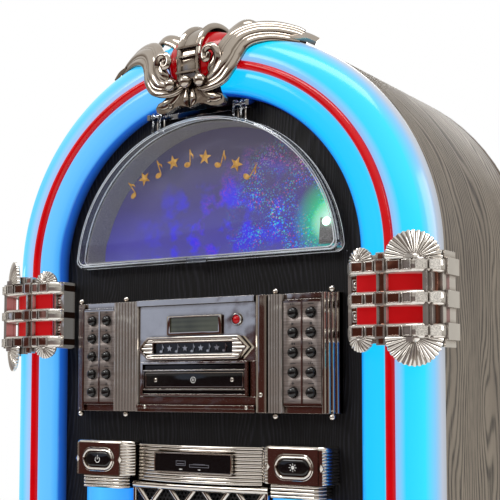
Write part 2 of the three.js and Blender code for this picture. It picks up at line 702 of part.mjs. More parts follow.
function add(name, geometry, material, x = 0, y = 0, z = 0) {
  const mesh = new THREE.Mesh(geometry, material);
  mesh.name = name;
  mesh.position.set(x, y, z);
  jukebox.add(mesh);
}

const SIDES = [['left', -1], ['right', 1]];

add('cabinet_shell', cabinetShell(), WOOD);
add('front_panel', frontPanel(), BLACK_WOOD);
add('back_panel', backPanel(), BLACK_PLASTIC);
add('base_plinth', basePlinth(), BLACK_PLASTIC);
for (const [name, side] of SIDES) {
  add(`tube_${name}`, litTube(side), LIT_BLUE);
  add(`bead_${name}`, bead(side), RED_PLASTIC);
  add(`band_${name}`, band(side), CHROME);
  add(`band_insert_${name}`, bandInsert(side), RED_PLASTIC);
}
add('crown_casting', crownCasting(), CHROME);
add('crown_insert', crownInsert(), RED_PLASTIC);

add('window_tray', windowTray(), GREY_PLASTIC);
add('window_film', windowFilm(), FILM);
add('window_lamp', windowLamp(), GREY_PLASTIC);
add('window_door', windowDoor(), CLEAR);
add('hinge_bracket', hingeBracket(), STEEL);

add('console_bezel', consoleBezel(), CHROME);
add('lcd_display', lcdDisplay(), LCD_GREEN);
add('sensor_lens', sensorLens(), RED_PLASTIC, LENS_X, PLATE_FRONT, LENS_Z);
add('nameplate', nameplate(), CHROME);
add('cd_mechanism', cdMechanism(), BLACK_PLASTIC);
add('cd_tray', cdTray(), BLACK_PLASTIC);

for (const [name, side] of SIDES) {
  add(`keypad_plate_${name}`, keypadPlate(side), BRUSHED);
  keyPlaces.forEach(({ x, z }, i) => {
    add(`key_${name}_${i + 1}`, key(), BLACK_PLASTIC, side * x, PLATE_FRONT, z);
  });
  add(`switch_block_${name}`, switchBlock(side), CHROME);
  add(`pilaster_${name}`, pilaster(side), LIT_BLUE);
}
add('power_button', pushButton(-1), BLACK_PLASTIC);
add('light_button', pushButton(1), BLACK_PLASTIC);
add('media_strip', mediaStrip(), CHROME);

add('grille_lattice', grilleLattice(), CHROME);
add('grille_mesh', grilleMesh(), BLACK_PLASTIC);
for (const [place, height] of Object.entries(SPEAKER_HEIGHTS)) {
  add(`speaker_${place}`, loudspeaker(), BLACK_PLASTIC, 0, SPEAKER_FRONT, height);
}
add('amplifier_board', amplifierBoard(), STEEL);

export default jukebox;
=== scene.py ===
"""Arch-top jukebox: the looks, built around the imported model.

Points are written in millimetres from the jukebox's own reference: x across, y back from the crest of
the red bead, z up from the centre of the arch. at() turns them into metres in the model's frame.
"""
import math

import bmesh
import bpy
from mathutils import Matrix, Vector


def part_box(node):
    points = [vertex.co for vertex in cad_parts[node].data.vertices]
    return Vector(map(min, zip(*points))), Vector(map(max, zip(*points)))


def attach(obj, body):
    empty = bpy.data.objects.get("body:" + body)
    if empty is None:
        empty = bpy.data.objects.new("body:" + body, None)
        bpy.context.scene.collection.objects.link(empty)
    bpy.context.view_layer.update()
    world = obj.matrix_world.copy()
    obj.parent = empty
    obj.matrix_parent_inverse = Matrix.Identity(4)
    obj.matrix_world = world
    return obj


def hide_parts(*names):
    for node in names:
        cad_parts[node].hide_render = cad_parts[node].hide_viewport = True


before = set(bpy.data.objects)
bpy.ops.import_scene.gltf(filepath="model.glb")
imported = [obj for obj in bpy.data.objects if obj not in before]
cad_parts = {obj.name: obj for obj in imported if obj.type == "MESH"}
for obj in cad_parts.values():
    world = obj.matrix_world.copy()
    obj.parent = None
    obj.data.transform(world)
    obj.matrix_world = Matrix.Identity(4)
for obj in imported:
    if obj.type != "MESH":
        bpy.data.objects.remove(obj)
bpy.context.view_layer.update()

# ---------------------------------------------------------------- driving dimensions
MM = 0.001
RISE = 0.947                                   # rise of every arch divided by its half width
BEAD_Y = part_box("bead_left")[0].y
HALF_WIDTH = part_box("tube_right")[1].x / MM
ARCH_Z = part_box("cabinet_shell")[1].z - RISE * HALF_WIDTH * MM
FLOOR = -ARCH_Z / MM
SIDES = (("left", -1), ("right", 1))


def span(node):
    """A node's box as x0, x1, y0, y1, z0, z1 in millimetres."""
    low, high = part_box(node)
    return (low.x / MM, high.x / MM, (low.y - BEAD_Y) / MM, (high.y - BEAD_Y) / MM,
            (low.z - ARCH_Z) / MM, (high.z - ARCH_Z) / MM)


SHELL_THICK = 15
SHELL_FRONT, SHELL_BACK = span("cabinet_shell")[2:4]
PANEL_FACE = span("front_panel")[2]
TUBE_FOOT = span("tube_right")[4]
TUBE_TOP_ANGLE = 80.5                          # where the lit tube ends under the crown
SHOULDER = 38                                  # radius of the tube's outer shoulder
BEAD_CENTRE, BEAD_RADIUS = 245, 5.1
BAND_TOP, BAND_PITCH, BAND_HEIGHT = -9, 33.4, 16
BAND_BOTTOM = BAND_TOP - 2 * BAND_PITCH - BAND_HEIGHT
HINGE_Y, HINGE_Z = 10, 181.5
CONSOLE_BOTTOM, CONSOLE_TOP = -168.5, -38.5
CONSOLE_HALF, BAY_HALF = 170, 82               # half widths of the console and of its middle bay
WING_START, WING_END = 165.6, 182              # the sloping ends of the console
DRIVE_BOTTOM, DRIVE_TOP = -151, -111
TRIM_BACK, BAND_BACK, CONSOLE_BACK = 24.4, 24.6, 24    # just in front of the black panel
DOOR_RADIUS, DOOR_SILL, DOOR_FACE, DOOR_WALL, DOOR_CORNER = 184, 6, 9, 2.6, 9
BUTTON_X, BUTTON_Z, BUTTON_HALF, BUTTON_RISE = 134.8, -225.6, 19.5, 9
SWITCH_SHOULDER = -244                         # where the switch block widens above its ribbed foot
BADGE_Z = -95.6
SENSOR_PLACE = (57.5, 5, -64.5)
MEDIA_WINDOW = (52, -236, -215.8)              # half width, bottom and top
PILASTER_X, PILASTER_HALF = 132, 34
CAMERA_PLACE = (744.8, -1043.3, -141.3)
CAMERA_TILT, CAMERA_TURN = 93.98, 32.57        # degrees up from straight down, and round from the front
CAMERA_LENS, CAMERA_SHIFT = 80.97, 0.12
PLATE_BOX = span("keypad_plate_right")
GRILLE_BOX = span("grille_lattice")


def at(x, y, z):
    return Vector((x * MM, BEAD_Y + y * MM, ARCH_Z + z * MM))


# ---------------------------------------------------------------- camera
def add_camera():
    data = bpy.data.cameras.new("camera")
    data.sensor_width = 36
    data.lens = CAMERA_LENS
    data.shift_y = CAMERA_SHIFT
    camera = bpy.data.objects.new("camera", data)
    camera.location = at(*CAMERA_PLACE)
    camera.rotation_euler = (math.radians(CAMERA_TILT), 0, math.radians(CAMERA_TURN))
    bpy.context.scene.collection.objects.link(camera)
    bpy.context.scene.camera = camera


add_camera()


# ---------------------------------------------------------------- materials
class Graph:
    """Short names for the nodes of one shader tree."""

    def __init__(self, tree, coordinates):
        self.tree = tree
        self.place = self.node("TexCoord").outputs[coordinates]

    def node(self, kind, inputs=(), **settings):
        made = self.tree.nodes.new("ShaderNode" + kind)
        for key, value in settings.items():
            setattr(made, key, value)
        for key, value in dict(inputs).items():
            if isinstance(value, bpy.types.NodeSocket):
                self.tree.links.new(value, made.inputs[key])
            else:
                made.inputs[key].default_value = value
        return made

    def stretched(self, x, y, z):
        return self.node("Mapping", {"Vector": self.place, "Scale": (x, y, z)}).outputs[0]

    def noise(self, scale, detail=3.0, where=None, roughness=0.5):
        return self.node("TexNoise", {
            "Vector": where or self.place, "Scale": scale, "Detail": detail, "Roughness": roughness,
        }).outputs["Fac"]

    def ramp(self, value, stops):
        made = self.node("ValToRGB", {"Fac": value})
        elements = made.color_ramp.elements
        while len(elements) < len(stops):
            elements.new(0.5)
        for element, (position, colour) in zip(elements, stops):
            element.position = position
            element.color = (*colour, 1) if len(colour) == 3 else colour
        return made.outputs["Color"]

    def span(self, value, low, high, from_low=0.0, from_high=1.0):
        return self.node("MapRange", {
            "Value": value, "From Min": from_low, "From Max": from_high, "To Min": low, "To Max": high,
        }).outputs["Result"]


class Finish(Graph):
    """A material with a Principled shader."""

    def __init__(self, name, colour, roughness, metallic=0.0):
        self.material = bpy.data.materials.new(name)
        self.material.use_nodes = True
        super().__init__(self.material.node_tree, "Object")
        self.shader = self.tree.nodes["Principled BSDF"]
        self.set("Base Color", (*colour, 1))
        self.set("Roughness", roughness)
        self.set("Metallic", metallic)

    def set(self, socket, value):
        self.shader.inputs[socket].default_value = value

    def link(self, output, socket):
        self.tree.links.new(output, self.shader.inputs[socket])

    def bump(self, height, strength, distance):
        made = self.node("Bump", {"Height": height, "Strength": strength, "Distance": distance})
        self.link(made.outputs["Normal"], "Normal")


def linear(red, green, blue):
    """An sRGB colour from 0 to 255 as the linear values that a shader takes."""
    def one(value):
        value /= 255
        return value / 12.92 if value <= 0.04045 else ((value + 0.055) / 1.055) ** 2.4
    return one(red), one(green), one(blue)


def chrome(name="chrome", tone=(212, 206, 198), waviness=0.25, painted_shade_reach=0.0, glow=0.0):
    """Plated plastic: a mirror with a faint waviness, and painted shade that darkens it down in its grooves.
    """
    made = Finish(name, linear(*tone), 0.07, 1.0)
    film = made.ramp(made.noise(18, 4), [
        (0.3, linear(*[0.93 * part for part in tone])), (0.7, linear(*tone)),
    ])
    # Painted shade: an Ambient Occlusion node darkens the colour in grooves and creases, out to the given
    # reach.
    if painted_shade_reach:
        open_sky = made.node("AmbientOcclusion", {"Distance": painted_shade_reach * MM}, samples=4).outputs["AO"]
        shade = made.ramp(open_sky, [(0.35, linear(70, 50, 42)), (0.62, linear(176, 164, 152)),
                                     (0.85, (1, 1, 1))])
        film = made.node("MixRGB", {"Fac": 1.0, "Color1": film, "Color2": shade},
                         blend_type="MULTIPLY").outputs[0]
    made.link(film, "Base Color")
    made.link(made.span(made.noise(240, 3), 0.05, 0.12), "Roughness")
    made.bump(made.noise(26, 2), waviness, 0.003)
    # Painted light: a glow of the plating's own colour that stands in for room light.
    if glow:
        made.link(film, "Emission Color")
        made.set("Emission Strength", glow)
    return made.material


def satin_metal():
    made = Finish("satin_plate", linear(150, 141, 137), 0.36, 0.85)
    brushed = made.noise(900, 3, made.stretched(0.05, 1, 1))
    made.link(made.ramp(brushed, [(0.3, linear(128, 119, 115)), (0.7, linear(164, 155, 150))]),
              "Base Color")
    made.link(made.span(brushed, 0.28, 0.42), "Roughness")
    made.bump(made.noise(2600, 2), 0.12, 0.0002)
    return made.material


def grain_lines(made, direction, spread, squeeze, pitch, detail=2.0):
    """Growth lines that bend round slow swirls, so that they make long arches as sawn wood does."""
    swirl = made.noise(1.0, detail, made.stretched(*squeeze), 0.55)
    shift = made.node("Math", {0: swirl, 1: spread}, operation="MULTIPLY").outputs[0]
    offset = made.node("CombineXYZ", {direction: shift}).outputs[0]
    warped = made.node("VectorMath", {0: made.place, 1: offset}, operation="ADD").outputs[0]
    wave_period = 0.314
    return made.node("TexWave", {
        "Vector": warped, "Scale": wave_period / pitch, "Distortion": 1.6, "Detail": 2.0,
        "Detail Scale": 0.6,
    }, bands_direction=direction).outputs["Fac"]


def side_wood():
    """Grey-brown open grain that runs up the sides and on over the arch."""
    made = Finish("side_wood", linear(88, 80, 71), 0.62)
    lines = grain_lines(made, "Y", 0.16, (2.2, 9, 2.2), 0.0075)
    pores = made.noise(1.0, 4, made.stretched(36, 620, 36), 0.6)
    tone = made.node("Math", {0: lines, 1: 0.5, 2: pores}, operation="MULTIPLY_ADD").outputs[0]
    broad = made.ramp(made.noise(1.0, 2, made.stretched(3, 14, 3)), [
        (0.35, linear(104, 96, 85)), (0.65, linear(84, 76, 67)),
    ])
    grain = made.ramp(tone, [
        (0.44, (0.17, 0.16, 0.15)), (0.56, (0.50, 0.49, 0.48)), (0.72, (1.0, 1.0, 1.0)),
        (0.95, (1.2, 1.2, 1.2)),
    ])
    colour = made.node("MixRGB", {"Fac": 1.0, "Color1": broad, "Color2": grain}, blend_type="MULTIPLY")
    made.link(colour.outputs[0], "Base Color")
    made.link(made.span(tone, 0.75, 0.5), "Roughness")
    made.bump(tone, 0.45, 0.0007)
    return made.material


def black_wood():
    """Black stained ash: fine raised lines on a nearly black ground."""
    made = Finish("black_wood", linear(14, 14, 17), 0.4)
    lines = grain_lines(made, "X", 0.11, (9, 9, 2.6), 0.0046)
    pores = made.noise(1.0, 4, made.stretched(700, 700, 22), 0.6)
    tone = made.node("Math", {0: lines, 1: 0.45, 2: pores}, operation="MULTIPLY_ADD").outputs[0]
    made.link(made.ramp(tone, [
        (0.5, linear(5, 5, 7)), (0.72, linear(10, 10, 13)), (0.88, linear(18, 19, 23)),
        (1.0, linear(32, 33, 39)),
    ]), "Base Color")
    made.link(made.span(tone, 0.62, 0.42), "Roughness")
    made.bump(tone, 0.6, 0.0008)
    made.set("Specular IOR Level", 0.22)
    return made.material


def tube_light(name, stops, strength):
    """Lit plastic: the glow follows "across", which runs round the tube's section from 0 to 1."""
    made = Finish(name, linear(200, 225, 240), 0.16)
    across = made.node("Attribute", attribute_name="across").outputs["Fac"]
    cloud = made.noise(6, 2)
    shifted = made.node("Math", {0: cloud, 1: -0.5}, operation="ADD").outputs[0]
    nudge = made.node("Math", {0: shifted, 1: 0.05, 2: across}, operation="MULTIPLY_ADD").outputs[0]
    glow = made.ramp(nudge, [(place, linear(*tone)) for place, tone in stops])
    made.link(glow, "Emission Color")
    made.link(made.ramp(across, [(0, (0.01, 0.02, 0.03)), (1, (0.05, 0.06, 0.07))]), "Base Color")
    made.set("Emission Strength", strength)
    made.bump(made.noise(40, 2), 0.06, 0.0005)
    made.set("Specular IOR Level", 0.3)
    return made.material


def red_plastic(name, glow, roughness=0.14):
    made = Finish(name, linear(176, 4, 16), roughness)
    depth = made.noise(30, 3)
    made.link(made.ramp(depth, [(0.3, linear(120, 0, 8)), (0.7, linear(150, 2, 12))]), "Base Color")
    # Painted light: a red glow that stands in for room light on the bead, the panels, the gem and the sensor
    # lens.
    made.set("Emission Color", (*linear(200, 0, 6), 1))
    made.set("Emission Strength", glow)
    made.link(made.span(depth, roughness, roughness + 0.08), "Roughness")
    made.set("Specular IOR Level", 0.35)
    made.bump(made.noise(90, 2), 0.05, 0.0004)
    return made.material


def dark_plastic(name, tone, roughness, grain=900, bump=0.15, glow=0.0):
    made = Finish(name, linear(*tone), roughness)
    speck = made.noise(grain, 3)
    darker, lighter = [c * 0.75 for c in tone], [min(255, c * 1.3 + 3) for c in tone]
    made.link(made.ramp(speck, [(0.3, linear(*darker)), (0.75, linear(*lighter))]), "Base Color")
    made.link(made.span(made.noise(35, 3), roughness * 0.8, roughness * 1.25), "Roughness")
    made.bump(speck, bump, 0.0002)
    # Painted light: where a glow is given, the plastic's own colour glows to stand in for room light.
    made.set("Emission Color", (*linear(*tone), 1))
    made.set("Emission Strength", glow)
    return made.material


def display_film():
    """Violet foil, its light painted: its colour glows to stand in for light from its edges, with patches of
    coloured sparkle, a painted green glint at the upper left and a painted pool of green light by the lamp.
    """
    made = Finish("display_film", linear(60, 52, 120), 0.35, 0.2)
    depth = (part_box("window_film")[0].y - BEAD_Y) / MM

    def near(x, z, inner, outer):
        """1 close to a point of the film, falling to 0 at the outer distance."""
        gap = made.node("VectorMath", {0: made.place, 1: at(x, depth, z)}, operation="DISTANCE")
        return made.span(gap.outputs["Value"], 1, 0, inner * MM, outer * MM)

    def mixed(fac, first, second):
        return made.node("MixRGB", {"Fac": fac, "Color1": first, "Color2": second}).outputs[0]

    def both(first, second):
        return made.node("Math", {0: first, 1: second}, operation="MULTIPLY").outputs[0]

    height = made.node("SeparateXYZ", {"Vector": made.place}).outputs["Z"]
    low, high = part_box("window_film")[0].z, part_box("window_film")[1].z
    level = made.span(height, 0, 1, low, high)
    wash = made.node("Math", {0: made.noise(9, 3), 1: 0.5, 2: level}, operation="MULTIPLY_ADD").outputs[0]
    colour = made.ramp(wash, [
        (0.15, linear(84, 84, 168)), (0.42, linear(74, 66, 158)), (0.66, linear(70, 60, 120)),
        (0.9, linear(76, 68, 104)), (1.0, linear(60, 54, 84)),
    ])
    patch = made.ramp(made.noise(34, 4), [(0.48, (0, 0, 0)), (0.66, (1, 1, 1))])
    colour = mixed(both(near(-40, 30, 10, 95), patch), colour, (*linear(40, 20, 255), 1))
    colour = mixed(both(near(40, 55, 20, 90), patch), colour, (*linear(54, 34, 235), 1))
    # Painted glint: a small green gleam at the foil's upper left.
    colour = mixed(near(-127, 133, 1, 9), colour, (*linear(60, 255, 190), 1))
    cells = made.node("TexVoronoi", {"Vector": made.place, "Scale": 780}).outputs["Color"]
    parts = made.node("SeparateColor", {"Color": cells})
    chosen = made.ramp(parts.outputs[0], [(0.62, (0, 0, 0)), (0.70, (1, 1, 1))])
    hues = made.ramp(parts.outputs[1], [
        (0.0, linear(30, 40, 255)), (0.55, linear(40, 110, 255)), (0.74, linear(60, 220, 235)),
        (0.86, linear(80, 250, 170)), (0.95, linear(255, 70, 120)),
    ])
    spread = made.ramp(made.noise(26, 4), [(0.36, (0, 0, 0)), (0.6, (1, 1, 1))])
    field = both(near(104, 58, 30, 100), spread)
    colour = mixed(both(field, chosen), colour, hues)
    ring = both(near(70, 40, 60, 110), made.span(near(70, 40, 60, 110), 1, 0, 0.2, 0.75))
    colour = mixed(both(ring, both(chosen, patch)), colour, (*linear(235, 60, 110), 1))
    # Painted light: a green pool and a pale spot where the lamp's light falls on the foil.
    colour = mixed(near(151, 49, 6, 50), colour, (*linear(0, 232, 128), 1))
    colour = mixed(near(152, 45, 8, 28), colour, (*linear(210, 255, 238), 1))
    made.link(colour, "Base Color")
    # Painted glow: the foil's colour is also its emission.
    made.link(colour, "Emission Color")
    made.set("Emission Strength", 0.62)
    made.bump(made.noise(14, 3), 0.4, 0.003)
    return made.material


def clear_plastic():
    made = Finish("clear_plastic", (0.96, 0.98, 1.0), 0.02)
    made.set("Transmission Weight", 1.0)
    made.set("IOR", 1.46)
    made.link(made.span(made.noise(40, 3), 0.01, 0.05), "Roughness")
    return made.material


def painted_edge_gleam():
    """A painted gleam on the door's moulded corner: an emission, broken up in its alpha, stands in for light
    that runs inside the clear plastic and comes out there.
    """
    made = Finish("painted_edge_gleam", linear(196, 202, 208), 0.15)
    made.link(made.span(made.noise(11, 3), 0.1, 0.95, 0.35, 0.65), "Alpha")
    made.set("Emission Color", (*linear(200, 206, 212), 1))
    made.set("Emission Strength", 0.35)
    return made.material


def lit_lens(name, tone, strength):
    made = Finish(name, linear(*tone), 0.1)
    made.link(made.ramp(made.noise(300, 2), [(0.3, linear(*tone)), (0.8, (1, 1, 1))]), "Emission Color")
    made.set("Emission Strength", strength)
    return made.material


def lcd_glass():
    made = Finish("lcd_glass", linear(93, 97, 82), 0.12)
    height = made.node("SeparateXYZ", {"Vector": made.stretched(40, 40, 90)}).outputs["Z"]
    rows = made.node("Math", {0: height, 1: 12.0}, operation="MULTIPLY").outputs[0]
    segment = made.node("Math", {0: rows}, operation="SINE").outputs[0]
    tone = made.node("Math", {0: segment, 1: 0.1, 2: made.noise(25, 2)},
                     operation="MULTIPLY_ADD").outputs[0]
    made.link(made.ramp(tone, [(0.3, linear(50, 53, 42)), (0.7, linear(76, 79, 64))]), "Base Color")
    made.set("Coat Weight", 0.5)
    made.set("Coat Roughness", 0.03)
    return made.material


def gold_print():
    made = Finish("gold_print", linear(206, 158, 74), 0.3, 0.7)
    made.link(made.ramp(made.noise(200, 3), [
        (0.3, linear(150, 108, 52)), (0.7, linear(206, 166, 98)),
    ]), "Base Color")
    # Painted light: a faint glow that stands in for room light on the gold print.
    made.set("Emission Color", (*linear(200, 150, 60), 1))
    made.set("Emission Strength", 0.12)
    return made.material


def board_brown():
    made = Finish("board_brown", linear(60, 46, 34), 0.8)
    fibre = made.noise(500, 5)
    made.link(made.ramp(fibre, [(0.3, linear(42, 32, 25)), (0.7, linear(82, 66, 50))]), "Base Color")
    made.bump(fibre, 0.3, 0.0004)
    return made.material


# The tubes are lamps and these ramps are their glow, partly painted: the left ramp is paler to paint how
# that tube looks at a grazing angle, and the greyish stops at the outer end make the unlit edge glow.
LIT_RIGHT = [
    (0.0, (6, 22, 70)), (0.11, (0, 60, 160)), (0.14, (0, 150, 240)), (0.2, (0, 200, 255)),
    (0.36, (10, 205, 255)), (0.42, (150, 190, 238)), (0.47, (150, 180, 232)), (0.53, (130, 200, 248)),
    (0.58, (0, 212, 255)), (0.74, (0, 222, 255)), (0.84, (120, 196, 244)), (0.92, (176, 184, 200)),
    (1.0, (160, 163, 168)),
]
LIT_LEFT = [
    (0.0, (10, 30, 80)), (0.11, (20, 90, 190)), (0.14, (70, 170, 248)), (0.2, (96, 190, 255)),
    (0.36, (100, 196, 255)), (0.42, (176, 200, 248)), (0.47, (176, 190, 240)), (0.53, (150, 206, 252)),
    (0.6, (84, 206, 255)), (0.78, (60, 200, 255)), (0.9, (130, 206, 248)), (1.0, (170, 190, 214)),
]
# Painted shade: the plain, cast and lit chromes darken in their grooves, out to 5, 8 and 5 mm.
CHROME = chrome(painted_shade_reach=5.0)
CHROME_CAST = chrome("chrome_cast", (178, 168, 157), 0.6, 8.0)
# Painted light: a copy of the chrome that glows at 0.2 so that it looks lit by the room; it covers most of
# the bands and the console's fluted columns.
CHROME_PAINTED_LIT = chrome("chrome_painted_lit", (206, 202, 196), 0.5, 5.0, 0.2)
# Painted reflection: a darker, browner copy of the chrome, with a faint glow, that paints the dark room
# mirrored in the bands' flat pads and post centres.
CHROME_PAINTED_DARK_REFLECTION = chrome("chrome_painted_dark_reflection", (172, 118, 98), 0.3, glow=0.05)
SATIN = satin_metal()
SIDE_WOOD = side_wood()
BLACK_WOOD = black_wood()
TUBE_LIGHT = {"left": tube_light("tube_light_left", LIT_LEFT, 1.0),
              "right": tube_light("tube_light_right", LIT_RIGHT, 1.0)}
RED_BEAD = red_plastic("red_bead", 0.62)
RED_PANEL = red_plastic("red_panel", 0.5, 0.25)
RED_GEM = red_plastic("red_gem", 0.3, 0.08)
GLOSS_BLACK = dark_plastic("gloss_black", (12, 12, 13), 0.07, 300, 0.02)
MATT_BLACK = dark_plastic("matt_black", (22, 22, 24), 0.5)
GREY_PLASTIC = dark_plastic("grey_plastic", (84, 84, 92), 0.4)
# Painted light: a glow of 0.2 lightens the grey of the recess, its tray and the lamp housing, which lie in
# shade.
RECESS_GREY_PAINTED_LIT = dark_plastic("recess_grey_painted_lit", (128, 126, 126), 0.45, glow=0.2)
# Painted reflection: a pale grey, not metal, that paints the bright room mirrored in strips round the bands'
# corners.
PAINTED_PALE_REFLECTION = dark_plastic("painted_pale_reflection", (176, 172, 165), 0.3)
STEEL = chrome("steel", (150, 152, 156), 0.1)
FILM = display_film()
CLEAR = clear_plastic()
PAINTED_EDGE_GLEAM = painted_edge_gleam()
LCD_GLASS = lcd_glass()
GOLD = gold_print()
BROWN_BOARD = board_brown()
WHITE_INK = dark_plastic("white_ink", (226, 226, 222), 0.5, 400, 0.05)
DARK_INK = dark_plastic("dark_ink", (38, 36, 36), 0.6, 400, 0.05)
GREEN_LENS = lit_lens("green_lens", (120, 255, 190), 6.0)


# ---------------------------------------------------------------- mesh building
def level_ring(outline, z):
    return [(x, y, z) for x, y in outline]


def upright_ring(outline, y):
    return [(x, y, z) for x, z in outline]


def arc(cx, cy, rx, ry, start, end, steps):
    """Points of an elliptical arc, angles in degrees."""
    turns = [math.radians(start + (end - start) * i / steps) for i in range(steps + 1)]
    return [(cx + rx * math.cos(a), cy + ry * math.sin(a)) for a in turns]


def smooth_path(points, steps=8):
    """A Catmull-Rom curve through points of any dimension."""
    pts = [Vector(p) for p in points]
    pts = [2 * pts[0] - pts[1], *pts, 2 * pts[-1] - pts[-2]]
    path = []
    for a, b, c, d in zip(pts, pts[1:], pts[2:], pts[3:]):
        for i in range(steps):
            t = i / steps
            path.append(0.5 * (2 * b + (c - a) * t + (2 * a - 5 * b + 4 * c - d) * t * t
                               + (3 * b - a - 3 * c + d) * t ** 3))
    return [*path, pts[-2]]


class Shape:
    """Points and faces of one piece, gathered from simple closed parts. Points are in millimetres."""

    def __init__(self):
        self.points, self.faces, self.finish, self.across = [], [], [], []

    def add(self, points, faces, finish=0, across=None):
        base = len(self.points)
        self.points += [Vector(p) for p in points]
        self.faces += [tuple(base + i for i in face) for face in faces]
        self.finish += [finish] * len(faces)
        self.across += across or [0.0] * len(points)
        return self

    def loft(self, rings, finish=0, closed=False, across=None):
        """Skins rings of equal length. A loft that isn't closed on itself is capped at both ends."""
        count, size = len(rings), len(rings[0])
        faces = []
        for r in range(count if closed else count - 1):
            low, high = r * size, (r + 1) % count * size
            faces += [(low + i, low + (i + 1) % size, high + (i + 1) % size, high + i) for i in range(size)]
        if not closed:
            faces += [tuple(range(size))[::-1], tuple((count - 1) * size + i for i in range(size))]
        return self.add([p for ring in rings for p in ring], faces, finish, across and across * count)

    def column(self, outline, z0, z1, finish=0):
        return self.loft([level_ring(outline, z) for z in (z0, z1)], finish)

    def bar(self, outline, x0, x1, finish=0):
        return self.loft([[(x, y, z) for y, z in outline] for x in (x0, x1)], finish)

    def plate(self, outline, y0, y1, finish=0):
        return self.loft([upright_ring(outline, y) for y in (y0, y1)], finish)

    def block(self, x0, x1, y0, y1, z0, z1, finish=0):
        return self.column([(x0, y0), (x1, y0), (x1, y1), (x0, y1)], z0, z1, finish)

    def lathe(self, centre, profile, axis=(0, 1, 0), steps=32, finish=0):
        """Turns (radius, distance along the axis) points; the profile starts and ends on the axis."""
        turn = Vector((0, 0, 1)).rotation_difference(Vector(axis)).to_matrix()
        compass = arc(0, 0, 1, 1, 0, 360, steps)[:-1]
        rings = [[turn @ Vector((r * x, r * y, h)) + Vector(centre) for x, y in compass] for r, h in profile]
        return self.loft(rings, finish)

    def ball(self, centre, radius, squash=1.0, finish=0):
        profile = [(max(radius * math.sin(a), 1e-4), -radius * squash * math.cos(a))
                   for a in (math.pi * i / 12 for i in range(13))]
        return self.lathe(centre, profile, steps=24, finish=finish)

    def rope(self, path, section, up=(0, 0, 1), finish=0):
        """Carries section(t), a list of (side, up) points, along a path; t runs from 0 to 1."""
        rings = []
        for i, point in enumerate(path):
            ahead, behind = path[min(i + 1, len(path) - 1)], path[max(i - 1, 0)]
            along = (ahead - behind).normalized()
            side = along.cross(Vector(up)).normalized()
            over = side.cross(along)
            ring = section(i / (len(path) - 1))
            rings.append([point + side * a + over * b for a, b in ring])
        return self.loft(rings, finish)

    def frame(self, outer, inner, y0, y1, finish=0):
        """An open frame between two outlines of as many points each."""
        rings = [upright_ring(outline, y) for outline, y in (
            (outer, y1), (outer, y0), (inner, y0), (inner, y1))]
        return self.loft(rings, finish, closed=True)

    def holed(self, outlines, y0, y1, round_edge=0.0, finish=0):
        """A plate with holes: the first outline is its edge and the others are holes."""
        curve = bpy.data.curves.new("outline", "CURVE")
        curve.dimensions = "2D"
        curve.fill_mode = "BOTH"
        curve.extrude = (y1 - y0) / 2 - round_edge
        curve.bevel_depth = round_edge
        curve.bevel_resolution = 1
        curve.offset = -round_edge
        for outline in outlines:
            spline = curve.splines.new("POLY")
            spline.points.add(len(outline) - 1)
            for point, (x, z) in zip(spline.points, outline):
                point.co = (x, z, 0, 1)
            spline.use_cyclic_u = True
        holder = bpy.data.objects.new("outline", curve)
        mesh = bpy.data.meshes.new_from_object(holder)
        middle = (y0 + y1) / 2
        self.add([(v.co.x, middle + v.co.z, v.co.y) for v in mesh.vertices],
                 [tuple(p.vertices) for p in mesh.polygons], finish)
        bpy.data.objects.remove(holder)
        bpy.data.curves.remove(curve)
        bpy.data.meshes.remove(mesh)
        return self

    def mirrored(self):
        """Adds this shape's own mirror image across x = 0."""
        flip = [Vector((-p.x, p.y, p.z)) for p in self.points]
        faces, finish = list(self.faces), list(self.finish)
        across = list(self.across)
        self.add(flip, faces, 0, across)
        self.finish[len(finish):] = finish
        return self

    def to_side(self, side):
        if side < 0:
            self.points = [Vector((-p.x, p.y, p.z)) for p in self.points]
        return self

    def make(self, name, materials, body="cabinet", hides=(), slot=None, bevel=0.0, sharp=38):
        mesh = bpy.data.meshes.new(name)
        mesh.from_pydata([at(*p) for p in self.points], [], self.faces)
        mesh.polygons.foreach_set("material_index", self.finish)
        if any(self.across):
            mesh.attributes.new("across", "FLOAT", "POINT").data.foreach_set("value", self.across)
        work = bmesh.new()
        work.from_mesh(mesh)
        bmesh.ops.remove_doubles(work, verts=work.verts, dist=2e-7)
        bmesh.ops.dissolve_degenerate(work, edges=work.edges, dist=1e-7)
        bmesh.ops.recalc_face_normals(work, faces=work.faces)
        work.to_mesh(mesh)
        work.free()
        for material in materials if isinstance(materials, (list, tuple)) else [materials]:
            mesh.materials.append(material)
        mesh.shade_smooth()
        mesh.set_sharp_from_angle(angle=math.radians(sharp))
        piece = bpy.data.objects.new(name, mesh)
        bpy.context.scene.collection.objects.link(piece)
        if bevel:
            add_bevel(piece, bevel)
        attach(piece, body)
        if hides:
            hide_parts(*hides)
        return piece


def add_bevel(piece, width):
    """Rounds every edge that turns more than 40 degrees."""
    bevel = piece.modifiers.new("edges", "BEVEL")
    bevel.width = width * MM
    bevel.segments = 2
    bevel.limit_method = "ANGLE"
    bevel.angle_limit = math.radians(40)
    bevel.use_clamp_overlap = True
    bevel.harden_normals = True


def finish_node(node, material, bevel=0.0):
    """Keeps a CAD node's shape, welds its facets, rounds its edges and gives it a material."""
    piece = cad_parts[node]
    piece.data.materials.clear()
    piece.data.materials.append(material)
    piece.modifiers.new("weld", "WELD").merge_threshold = 1e-5
    if bevel:
        add_bevel(piece, bevel)


def arch_rings(section, foot, first, last, steps):
    """Carries (half width, y) points up a leg and round the arch, angles in degrees from level."""
    stations = [(first, foot)] + [(first + (last - first) * i / steps, 0) for i in range(steps + 1)]
    if last >= 180:
        stations.append((last, foot))
    rings = []
    for angle, drop in stations:
        turn = math.radians(angle)
        rings.append([(x * math.cos(turn), y, drop + x * RISE * math.sin(turn)) for x, y in section])
    return rings


